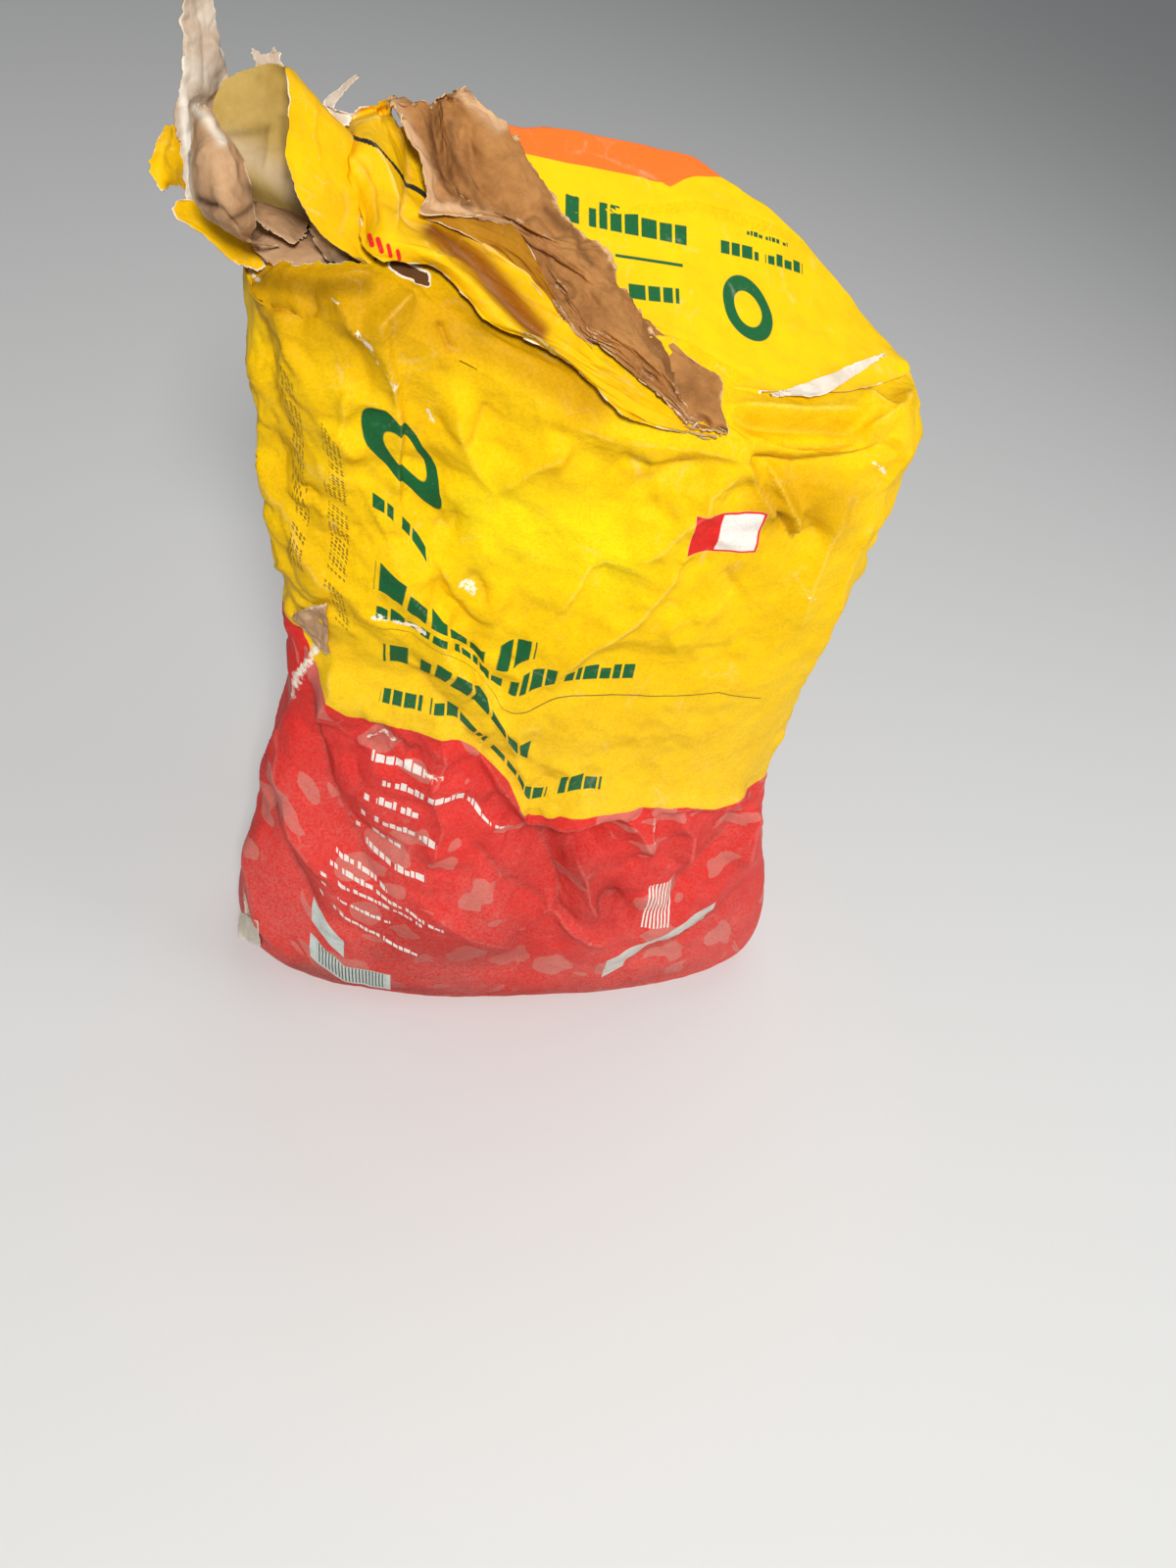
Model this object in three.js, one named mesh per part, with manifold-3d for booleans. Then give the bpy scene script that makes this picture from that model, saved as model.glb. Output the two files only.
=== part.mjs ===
// Opened paper sack of dry concrete mix, stood on its block bottom.
// Millimetres, +Z up, the front panel faces -Y. The origin lies in the flat resting face, near its middle.
import * as THREE from "three";
import { mergeVertices } from "three/addons/utils/BufferGeometryUtils.js";
import Module from "manifold-3d";

const wasm = await Module();
wasm.setup();

// Paper. Each ply is drawn thicker than real sack paper so that it holds together as a solid.
const PLY = 1.2;
const GAP = 0.4;
const PATCH = 1.0;
const COLUMNS = 56;
const WALL_ROWS = 16;

// Body of the sack, one line for each level: height, centre across, centre in depth,
// half width, half depth, squareness of the section.
const LEVELS = [
  [0, -6, 2, 160, 50, 2.6],
  [20, -13, 4, 171, 71, 2.5],
  [60, -18, 1, 166, 70, 2.4],
  [110, -24, 2, 154, 68, 2.4],
  [160, -30, 6, 141, 62, 2.4],
  [210, -31, 11, 134, 58, 2.4],
  [280, -34, 15, 136, 54, 2.5],
  [340, -40, 20, 140, 52, 2.7],
  [400, -50, 22, 140, 51, 3.0],
];
const BODY_TOP = 400;
const SHOULDER = 9;

// Top end: the front crease climbs to the left, the rear edge stands higher than the front,
// and the torn left end drops away.
const RIGHT_CORNER = 110;
const FRONT_CLIMB = 55;
const FRONT_SPAN = 270;
const REAR_HEIGHT = 404;
const REAR_RISE = 64;
const REAR_SPAN = 130;
const FRONT_EDGE = -29;
const TOP_DEPTH = 102;
const LEFT_DROP = 30;
const LEFT_DROP_FROM = -135;
const LEFT_DROP_SPAN = 55;

// Long diagonal pleat down the front panel: height and place across, then its size.
const PLEAT = [[400, -127], [333, -117], [292, -95], [208, -50], [60, -28], [0, -26]];
const PLEAT_DEPTH = 7;
const PLEAT_WIDTH = 16;

// Mouth torn in the left of the top end, seen from above, and the ledge of kraft left inside it.
const MOUTH = [
  [-181, 14], [-168, -6], [-154, -13], [-141, -13], [-133, -3],
  [-133, 22], [-140, 42], [-153, 50], [-168, 46], [-182, 30],
];
const MOUTH_CENTRE = [-157, 20];
const KRAFT_MOUTH = 0.86;
const FREE_MOUTH = 0.98;

// Printed patch pasted over the end, seen from above.
const PATCH_OUTLINE = [
  [-94, 66], [-60, 72], [-20, 71], [20, 66], [60, 60], [96, 52],
  [82, 18], [60, -6], [30, -20], [-4, -22], [-40, -4], [-70, 24],
];

// Torn flaps, each a net of points from its root to its free edge.
const LEAF = [
  [[-174, 49, 433], [-164, 55, 441], [-154, 58, 447], [-144, 61, 452]],
  [[-184, 54, 468], [-174, 62, 480], [-160, 66, 481], [-147, 66, 474]],
  [[-198, 36, 476], [-180, 42, 489], [-162, 44, 478], [-148, 46, 465]],
  [[-197, 24, 468], [-176, 22, 477], [-157, 22, 463], [-146, 28, 451]],
  [[-186, 12, 457], [-168, 8, 463], [-154, 8, 451], [-147, 14, 443]],
];
const LOBE = [
  [[-180, -2, 424], [-184, 20, 428], [-182, 44, 432]],
  [[-204, -4, 438], [-208, 20, 440], [-205, 42, 443]],
  [[-212, -2, 452], [-217, 20, 450], [-212, 40, 454]],
  [[-211, 4, 466], [-215, 20, 464], [-211, 36, 466]],
];
const SPEAR = [
  [[-179, 15, 433], [-179.5, 28, 433], [-173, 41, 438]],
  [[-180, 17, 450], [-182, 31, 453], [-177, 44, 457]],
  [[-194, 22, 470], [-199, 38, 472], [-194, 54, 472]],
  [[-203, 28, 484], [-207, 43, 486], [-202, 57, 485]],
  [[-207, 34, 498], [-209, 45, 500], [-204, 56, 498]],
  [[-205, 41, 509], [-206, 46, 510], [-204, 51, 509]],
];
const POUCH = [
  [[-166, -3.5, 437], [-172, 4.5, 436], [-178, 13, 434]],
  [[-169, -6, 450], [-177, 1, 450], [-182, 11, 450]],
  [[-186, -10, 468], [-194, 0, 470], [-198, 12, 470]],
  [[-190, -3, 480], [-197, 5, 483], [-199, 14, 482]],
];
const FLAP = 1.4;

// Torn strip of kraft folded out over the top: left edge, crest and right edge of each cross line.
const STRIP = [
  [[-138, 72, 472], [-124, 79, 480], [-108, 84, 476]],
  [[-131, 47, 469], [-115, 55, 477], [-97, 64, 473]],
  [[-125, 27, 464], [-107, 38, 472], [-87, 48, 467]],
  [[-104, 22, 461], [-90, 28, 466], [-72, 32, 459]],
  [[-86, 10, 452], [-74, 16, 458], [-60, 22, 453]],
  [[-70, -6, 443], [-60, 0, 448], [-46, 8, 444]],
  [[-50, -17, 433], [-40, -11, 437], [-28, -6, 431]],
  [[-22, -26, 422], [-14, -20, 424], [-8, -14, 422]],
];
const STRIP_THICKNESS = 2.4;
const STRIP_SETTLE = 1.5;

// Dry mix left in the sack: its level at the left and right walls and its lumps.
const FILL_LEFT = 168;
const FILL_RIGHT = 138;
const FILL_LUMP = 4;

// Smooth curve through a list of values, each given at its own station.
function along(stations, values, at) {
  const last = stations.length - 1;
  let i = 0;
  while (i < last - 1 && at > stations[i + 1]) i += 1;
  const slope = (k) => {
    const a = Math.max(0, k - 1);
    const b = Math.min(last, k + 1);
    return (values[b] - values[a]) / (stations[b] - stations[a]);
  };
  const span = stations[i + 1] - stations[i];
  const t = Math.min(1, Math.max(0, (at - stations[i]) / span));
  const h00 = (1 + 2 * t) * (1 - t) * (1 - t);
  const h10 = t * (1 - t) * (1 - t);
  const h01 = t * t * (3 - 2 * t);
  const h11 = t * t * (t - 1);
  return h00 * values[i] + h10 * span * slope(i) + h01 * values[i + 1] + h11 * span * slope(i + 1);
}

// Height of the top end's surface over a point of the plan.
function topHeight(x, y) {
  const front = BODY_TOP + FRONT_CLIMB * Math.pow(Math.max(0, RIGHT_CORNER - x) / FRONT_SPAN, 2);
  const climb = Math.min(1, Math.max(0, (RIGHT_CORNER - x) / REAR_SPAN));
  const rear = REAR_HEIGHT + REAR_RISE * Math.pow(climb, 0.8);
  const k = Math.min(1, Math.max(0, (y - FRONT_EDGE) / TOP_DEPTH));
  const drop = LEFT_DROP * THREE.MathUtils.smoothstep((LEFT_DROP_FROM - x) / LEFT_DROP_SPAN, 0, 1);
  return front * (1 - k) + rear * k - drop;
}

// Wall of the sack at an angle and a level, moved inwards by an inset.
function wallPoint(angle, level, inset) {
  const heights = LEVELS.map((row) => row[0]);
  const value = (column) => along(heights, LEVELS.map((row) => row[column]), level);
  const a = value(3) - inset;
  const b = value(4) - inset;
  const power = 2 / value(5);
  const c = Math.cos(angle);
  const s = Math.sin(angle);
  let x = value(1) + a * Math.sign(c) * Math.pow(Math.abs(c), power);
  let y = value(2) + b * Math.sign(s) * Math.pow(Math.abs(s), power);
  const pleatAt = along(PLEAT.map((p) => -p[0]), PLEAT.map((p) => p[1]), -level);
  const fade = THREE.MathUtils.smoothstep(level, 10, 90) * (1 - THREE.MathUtils.smoothstep(level, 360, 400));
  if (s < 0) {
    const across = (x - pleatAt) / PLEAT_WIDTH;
    y += PLEAT_DEPTH * fade * Math.exp(-across * across) * Math.min(1, -2 * s);
  }
  const v = level / BODY_TOP;
  let z = level + (topHeight(x, y) - SHOULDER - BODY_TOP) * v * v;
  z += inset * (1 - 2 * v);
  return new THREE.Vector3(x, y, z);
}

// Closed solid of the whole sack, its walls, bottom and top end moved inwards by an inset.
function sackSolid(inset) {
  const points = [];
  const rings = [];
  const ring = (make) => {
    const first = points.length;
    for (let i = 0; i < COLUMNS; i += 1) points.push(make(i));
    rings.push(first);
  };
  const angleOf = (i) => (2 * Math.PI * i) / COLUMNS;
  const base = (i) => wallPoint(angleOf(i), 0, inset);
  const rim = (i) => wallPoint(angleOf(i), BODY_TOP, inset);
  const bottomCentre = points.push(new THREE.Vector3(LEVELS[0][1], LEVELS[0][2], inset)) - 1;
  ring((i) => base(i).lerp(points[bottomCentre], 0.5));
  for (let r = 0; r <= WALL_ROWS; r += 1) {
    const t = r / WALL_ROWS;
    const level = BODY_TOP * (0.45 * t * t + 0.55 * t);
    ring((i) => wallPoint(angleOf(i), level, inset));
  }
  const cx = LEVELS[LEVELS.length - 1][1];
  const cy = LEVELS[LEVELS.length - 1][2];
  const rounded = [[0.97, 0.3], [0.9, 0], [0.66, 0], [0.33, 0]];
  for (const [scale, sag] of rounded) {
    ring((i) => {
      const p = rim(i);
      const x = cx + (p.x - cx) * scale;
      const y = cy + (p.y - cy) * scale;
      return new THREE.Vector3(x, y, topHeight(x, y) - SHOULDER * sag - inset);
    });
  }
  const topCentre = points.push(new THREE.Vector3(cx, cy, topHeight(cx, cy) - inset)) - 1;
  const index = [];
  for (let i = 0; i < COLUMNS; i += 1) {
    const j = (i + 1) % COLUMNS;
    index.push(bottomCentre, rings[0] + j, rings[0] + i);
    for (let r = 0; r < rings.length - 1; r += 1) {
      const a = rings[r] + i;
      const b = rings[r] + j;
      const c = rings[r + 1] + j;
      const d = rings[r + 1] + i;
      index.push(a, b, c, a, c, d);
    }
    index.push(rings[rings.length - 1] + i, rings[rings.length - 1] + j, topCentre);
  }
  return meshOf(points, index);
}

// Indexed geometry from a list of points and a list of corners.
function meshOf(points, index) {
  const geometry = new THREE.BufferGeometry();
  geometry.setFromPoints(points);
  geometry.setIndex(index);
  return geometry;
}

// Sheet of paper through a net of points, smoothed both ways and given a thickness.
// Its edges reach past the net by a margin.
function sheetSolid(net, thickness, across, lengthwise, reach) {
  const rows = net.map((row) => new THREE.CatmullRomCurve3(row.map((p) => new THREE.Vector3(...p))));
  const grid = [];
  for (let j = 0; j <= across; j += 1) {
    const line = new THREE.CatmullRomCurve3(rows.map((curve) => curve.getPoint(j / across)));
    grid.push(Array.from({ length: lengthwise + 1 }, (_, i) => line.getPoint(i / lengthwise)));
  }
  const spread = (edge, inner) => edge.add(edge.clone().sub(inner).setLength(reach));
  if (reach > 0) {
    for (const line of grid) {
      spread(line[0], line[1]);
      spread(line[lengthwise], line[lengthwise - 1]);
    }
    for (let i = 0; i <= lengthwise; i += 1) {
      spread(grid[0][i], grid[1][i]);
      spread(grid[across][i], grid[across - 1][i]);
    }
  }
  const upper = [];
  const lower = [];
  for (let j = 0; j <= across; j += 1) {
    for (let i = 0; i <= lengthwise; i += 1) {
      const du = grid[Math.min(across, j + 1)][i].clone().sub(grid[Math.max(0, j - 1)][i]);
      const dv = grid[j][Math.min(lengthwise, i + 1)].clone().sub(grid[j][Math.max(0, i - 1)]);
      const normal = du.cross(dv).normalize().multiplyScalar(thickness / 2);
      upper.push(grid[j][i].clone().add(normal));
      lower.push(grid[j][i].clone().sub(normal));
    }
  }
  const points = upper.concat(lower);
  const wide = lengthwise + 1;
  const other = upper.length;
  const index = [];
  const quad = (a, b, c, d) => index.push(a, b, c, a, c, d);
  for (let j = 0; j < across; j += 1) {
    for (let i = 0; i < lengthwise; i += 1) {
      const a = j * wide + i;
      const b = a + wide;
      quad(a, b, b + 1, a + 1);
      quad(other + a, other + a + 1, other + b + 1, other + b);
    }
  }
  const side = (a, b) => quad(a, other + a, other + b, b);
  for (let i = 0; i < lengthwise; i += 1) {
    side(i + 1, i);
    side(across * wide + i, across * wide + i + 1);
  }
  for (let j = 0; j < across; j += 1) {
    side(j * wide, (j + 1) * wide);
    side((j + 1) * wide + lengthwise, j * wide + lengthwise);
  }
  return meshOf(points, index);
}

// Upright prism over an outline of the plan.
function prismSolid(outline, low, high) {
  const shape = new THREE.Shape(outline.map((p) => new THREE.Vector2(p[0], p[1])));
  const geometry = new THREE.ExtrudeGeometry(shape, { depth: high - low, bevelEnabled: false });
  return geometry.translate(0, 0, low);
}

// Block whose upper face is the uneven level of the dry mix.
function fillBlock() {
  const block = new THREE.BoxGeometry(400, 240, 400, 26, 14, 1);
  const position = block.attributes.position;
  for (let i = 0; i < position.count; i += 1) {
    const x = position.getX(i);
    const y = position.getY(i);
    if (position.getZ(i) > 0) {
      const level = THREE.MathUtils.mapLinear(x, -170, 120, FILL_LEFT, FILL_RIGHT);
      const lumps = Math.sin(x / 23) * Math.cos(y / 17) + 0.6 * Math.sin(x / 11 + y / 19);
      position.setZ(i, level + FILL_LUMP * lumps);
    } else {
      position.setZ(i, -50);
    }
  }
  return block;
}

function toManifold(geometry) {
  const plain = geometry.clone();
  plain.deleteAttribute("normal");
  plain.deleteAttribute("uv");
  const merged = mergeVertices(plain, 1e-4);
  return new wasm.Manifold(new wasm.Mesh({
    numProp: 3,
    vertProperties: Float32Array.from(merged.attributes.position.array),
    triVerts: Uint32Array.from(merged.index.array),
  }));
}

function toMesh(name, solid, color, roughness) {
  const mesh = solid.getMesh();
  const geometry = new THREE.BufferGeometry();
  geometry.setAttribute("position", new THREE.BufferAttribute(Float32Array.from(mesh.vertProperties), 3));
  geometry.setIndex(new THREE.BufferAttribute(Uint32Array.from(mesh.triVerts), 1));
  const result = new THREE.Mesh(geometry, new THREE.MeshStandardMaterial({ color, roughness, metalness: 0 }));
  result.name = name;
  return result;
}

const sack = (inset) => toManifold(sackSolid(inset));
const shrunk = (outline, centre, scale) => outline.map((p) => [
  centre[0] + (p[0] - centre[0]) * scale,
  centre[1] + (p[1] - centre[1]) * scale,
]);
const mouth = toManifold(prismSolid(MOUTH, 400, 560));
const freeMouth = toManifold(prismSolid(shrunk(MOUTH, MOUTH_CENTRE, FREE_MOUTH), 380, 560));
const kraftMouth = toManifold(prismSolid(shrunk(MOUTH, MOUTH_CENTRE, KRAFT_MOUTH), 380, 560));

// Printed outer ply with its torn leaf and side lobe.
const leaf = (margin) => toManifold(sheetSolid(LEAF, FLAP + 2 * margin, 8, 14, margin));
const lobe = (margin) => toManifold(sheetSolid(LOBE, FLAP + 2 * margin, 6, 8, margin));
const outerBody = sack(0);
const outerFlaps = leaf(0).add(lobe(0)).subtract(sack(PLY / 2));
const outerPly = outerBody.subtract(sack(PLY)).subtract(mouth).add(outerFlaps);

// Kraft ply lining it, and the torn spear and pouch of kraft that stand out of the mouth.
const kraftOutside = sack(PLY + GAP);
const kraftInside = sack(2 * PLY + GAP);
const spear = toManifold(sheetSolid(SPEAR, FLAP, 6, 12, 0));
const pouch = toManifold(sheetSolid(POUCH, FLAP, 5, 8, 0));
const keepClear = sack(-GAP).subtract(freeMouth).add(sack(PLY)).add(leaf(GAP)).add(lobe(GAP));
const kraftPly = kraftOutside.subtract(kraftInside).subtract(kraftMouth);
const kraftSpear = spear.subtract(keepClear);
const kraftPouch = pouch.subtract(keepClear);

// Printed patch pasted over the end.
const patchOutline = toManifold(prismSolid(PATCH_OUTLINE, 395, 560));
const endPatch = sack(-GAP - PATCH).subtract(sack(-GAP)).intersect(patchOutline);

// Torn kraft strip lying over the patch and the mouth's edge.
const stripSheet = sheetSolid(STRIP, STRIP_THICKNESS, 8, 28, 0).translate(0, 0, -STRIP_SETTLE);
const stripAll = toManifold(stripSheet);
const stripClear = sack(-GAP).add(sack(-2 * GAP - PATCH).intersect(patchOutline));
const kraftStrip = stripAll.subtract(stripClear).subtract(leaf(GAP));

// Dry mix filling the lower part.
const mix = sack(2 * PLY + 2 * GAP).intersect(toManifold(fillBlock()));

const group = new THREE.Group();
group.add(toMesh("outer_ply", outerPly, 0xeecb08, 0.75));
group.add(toMesh("kraft_ply", kraftPly, 0xb58d66, 0.85));
group.add(toMesh("kraft_spear", kraftSpear, 0xc4a48a, 0.85));
group.add(toMesh("kraft_pouch", kraftPouch, 0xb9977a, 0.85));
group.add(toMesh("end_patch", endPatch, 0xf2ce10, 0.7));
group.add(toMesh("kraft_strip", kraftStrip, 0xa97c58, 0.85));
group.add(toMesh("dry_mix", mix, 0x8c8a84, 0.95));

export default group;
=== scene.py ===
import math
import bpy
import numpy as np
from mathutils import Matrix


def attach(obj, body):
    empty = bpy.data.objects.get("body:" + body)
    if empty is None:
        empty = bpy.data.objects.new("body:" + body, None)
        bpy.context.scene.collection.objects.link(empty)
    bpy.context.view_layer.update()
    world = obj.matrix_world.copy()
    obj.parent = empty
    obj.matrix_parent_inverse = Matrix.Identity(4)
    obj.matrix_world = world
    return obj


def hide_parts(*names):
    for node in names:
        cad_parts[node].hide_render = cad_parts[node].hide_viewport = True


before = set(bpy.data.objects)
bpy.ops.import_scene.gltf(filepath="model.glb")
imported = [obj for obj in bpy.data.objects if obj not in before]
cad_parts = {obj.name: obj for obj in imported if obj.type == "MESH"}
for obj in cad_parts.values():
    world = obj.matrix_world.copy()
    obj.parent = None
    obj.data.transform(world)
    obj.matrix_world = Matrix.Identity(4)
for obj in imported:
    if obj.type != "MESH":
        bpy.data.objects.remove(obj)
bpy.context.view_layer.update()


# Camera
# The photograph was taken from in front of the sack's left half and above it. Its frame is 1200 by 1600
# pixels, and the lens has a focal length of 1200 pixels.
PHOTO_CENTRE = (600.0, 800.0)
PHOTO_FOCAL = 1200.0
SENSOR_SIDE = 36.0
NEAREST_SEEN = 0.02
EYE = np.array([-0.184, -0.392, 0.668])
LOOK = np.array([0.2803, 0.5799, -0.7649])
ACROSS = np.array([0.9591, -0.1503, 0.2384])
LOOK /= np.linalg.norm(LOOK)
ACROSS -= LOOK * (ACROSS @ LOOK)
ACROSS /= np.linalg.norm(ACROSS)
DOWN = np.cross(LOOK, ACROSS)


def place_camera():
    """Camera at the eye, looking along LOOK with ACROSS to its right."""
    data = bpy.data.cameras.new("photo_camera")
    data.sensor_width = SENSOR_SIDE
    data.lens = data.sensor_width * PHOTO_FOCAL / (2 * PHOTO_CENTRE[1])
    data.clip_start = NEAREST_SEEN
    camera = bpy.data.objects.new("photo_camera", data)
    bpy.context.scene.collection.objects.link(camera)
    turn = Matrix((ACROSS, -DOWN, -LOOK)).transposed().to_4x4()
    camera.matrix_world = Matrix.Translation(EYE) @ turn
    bpy.context.scene.camera = camera


place_camera()


# Sack body
# One sheet of printed paper is wrapped into a tube, pasted down its back and folded flat at the top. The mix
# packs its lower part tight, and its empty upper part has slumped and crumpled round the torn mouth.

# Each level holds its height, the middle of the section across and in depth, its half width, its half depth
# and how square it is, in mm.
LEVELS = np.array([
    [0, -6, 2, 160, 50, 2.6],
    [20, -13, 4, 171, 71, 2.5],
    [60, -18, 1, 166, 70, 2.4],
    [110, -24, 2, 154, 68, 2.4],
    [160, -30, 6, 141, 62, 2.4],
    [210, -31, 11, 134, 58, 2.4],
    [280, -34, 15, 136, 54, 2.5],
    [340, -39.5, 20, 141, 52, 2.7],
    [400, -47, 22, 143, 51, 3.0],
])
BODY_TOP = 400.0
SHOULDER = 9.0
# The long pleat of the front: heights and places across, and its depth and width.
PLEAT = np.array([[0, -26], [60, -28], [208, -50], [292, -95], [333, -117], [400, -127]])
PLEAT_DEPTH = 7.0
PLEAT_WIDTH = 16.0
MOUTH_CENTRE = np.array([-157.0, 20.0])
MOUTH = np.array([
    [-181, 17], [-168, 2], [-154, -4], [-141, -4], [-133, 4],
    [-133, 22], [-140, 42], [-153, 50], [-168, 46], [-182, 30],
])
BACK_COLUMNS = 90
FRONT_COLUMNS = 330
WALL_ROWS = 226
END_ROWS = 96
LEVEL_SPACING = 1.04
RAY_SPACING = 1.15
TEAR_SEED = 5
MOUTH_WAVES = (7, 13, 29, 61)
MOUTH_ROUGHNESS = 0.9
MM = 0.001
PER_METRE = 1000


def along(stations, values, at):
    """Cubic through values at their stations, its slopes taken from the neighbouring values."""
    slope = np.empty(len(stations))
    slope[1:-1] = (values[2:] - values[:-2]) / (stations[2:] - stations[:-2])
    slope[0] = (values[1] - values[0]) / (stations[1] - stations[0])
    slope[-1] = (values[-1] - values[-2]) / (stations[-1] - stations[-2])
    i = np.clip(np.searchsorted(stations, at) - 1, 0, len(stations) - 2)
    span = stations[i + 1] - stations[i]
    t = np.clip((at - stations[i]) / span, 0, 1)
    start = (1 + 2 * t) * (1 - t) ** 2 * values[i] + t * (1 - t) ** 2 * span * slope[i]
    return start + t * t * (3 - 2 * t) * values[i + 1] + t * t * (t - 1) * span * slope[i + 1]


def step(value, low=0.0, high=1.0):
    """Smooth step from 0 to 1."""
    t = np.clip((value - low) / (high - low), 0, 1)
    return t * t * (3 - 2 * t)


def top_height(x, y):
    """Height in mm of the top end over a point of the plan, as in the part's source: its front and rear edges
    climb to the left, and it runs straight between them, with a dip at the far left and a low ridge."""
    front = 400 + 55 * (np.maximum(0, 110 - x) / 270) ** 2
    rear = 404 + 64 * np.clip((110 - x) / 130, 0, 1) ** 0.8
    k = np.clip((y + 29) / 102, 0, 1)
    ridge = 6 * step(y, 30, 70) * step(x, -150, -100) * step(80 - x, 0, 60) + 6 * step(x, 45, 95)
    return front * (1 - k) + rear * k - 30 * step(-135 - x, 0, 55) + ridge


def wall_section(level, angle):
    """Plan in mm of the wall at one level: a squared oval with the long pleat pressed into its front."""
    _, x0, y0, a, b, square = [along(LEVELS[:, 0], LEVELS[:, k], level) for k in range(6)]
    c = np.cos(angle)
    s = np.sin(angle)
    x = x0 + a * np.sign(c) * np.abs(c) ** (2 / square)
    y = y0 + b * np.sign(s) * np.abs(s) ** (2 / square)
    centre = along(PLEAT[:, 0], PLEAT[:, 1], level)
    fade = step(level, 10, 90) * (1 - step(level, 360, 400))
    dip = PLEAT_DEPTH * fade * np.exp(-(((x - centre) / PLEAT_WIDTH) ** 2)) * np.minimum(1, -2 * s)
    return x, np.where(s < 0, y + dip, y)


def wall_grid():
    """Points of the wall and each point's distance in mm round the sack from the middle of the front.
    Columns start at the pasted seam in the middle of the back and lie closer together on the front."""
    levels = BODY_TOP * np.linspace(0, 1, WALL_ROWS) ** LEVEL_SPACING
    half = FRONT_COLUMNS / (BACK_COLUMNS + FRONT_COLUMNS)
    places = np.interp(
        np.linspace(0, 1, BACK_COLUMNS + FRONT_COLUMNS, endpoint=False),
        [0, (1 - half) / 2, (1 + half) / 2, 1],
        [0, 0.22, 0.78, 1],
    )
    fine = np.linspace(0.5 * math.pi, 2.5 * math.pi, 2400)
    plan = np.empty((WALL_ROWS, len(places), 2))
    distance = np.empty((WALL_ROWS, len(places)))
    for row, level in enumerate(levels):
        x, y = wall_section(np.full_like(fine, level), fine)
        length = np.concatenate([[0], np.cumsum(np.hypot(np.diff(x), np.diff(y)))])
        here = places * length[-1]
        plan[row, :, 0] = np.interp(here, length, x)
        plan[row, :, 1] = np.interp(here, length, y)
        distance[row] = here - np.interp(1.5 * math.pi, fine, length)
    rise = top_height(plan[..., 0], plan[..., 1]) - SHOULDER - BODY_TOP
    height = levels[:, None] + rise * (levels[:, None] / BODY_TOP) ** 2
    return np.concatenate([plan, height[..., None]], axis=-1), distance


def mouth_radius(angle, roughness):
    """Distance in mm from the middle of the mouth to its torn border in each direction of the plan."""
    arm = MOUTH - MOUTH_CENTRE
    turns = np.arctan2(arm[:, 1], arm[:, 0])
    order = np.argsort(turns)
    reach = np.interp(angle, turns[order], np.hypot(*arm[order].T), period=2 * math.pi)
    rng = np.random.default_rng(TEAR_SEED)
    for beats in MOUTH_WAVES:
        reach = reach + roughness * np.sin(beats * angle + rng.uniform(0, 6)) * 4 / beats**0.6
    return reach


def end_grid(rim, roughness):
    """Top end between the wall's upper rim and the torn mouth, along straight rays from the mouth."""
    arm = rim[:, :2] - MOUTH_CENTRE
    angle = np.arctan2(arm[:, 1], arm[:, 0])
    far = np.hypot(arm[:, 0], arm[:, 1])
    near = mouth_radius(angle, roughness)
    k = np.linspace(0, 1, END_ROWS)[:, None] ** RAY_SPACING
    radius = far + (near - far) * k
    x = MOUTH_CENTRE[0] + radius * np.cos(angle)
    y = MOUTH_CENTRE[1] + radius * np.sin(angle)
    inside = far - radius
    sag = SHOULDER * np.clip(1 - inside / 12, 0, 1) ** 2
    return np.stack([x, y, top_height(x, y) - sag], axis=-1), inside


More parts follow.
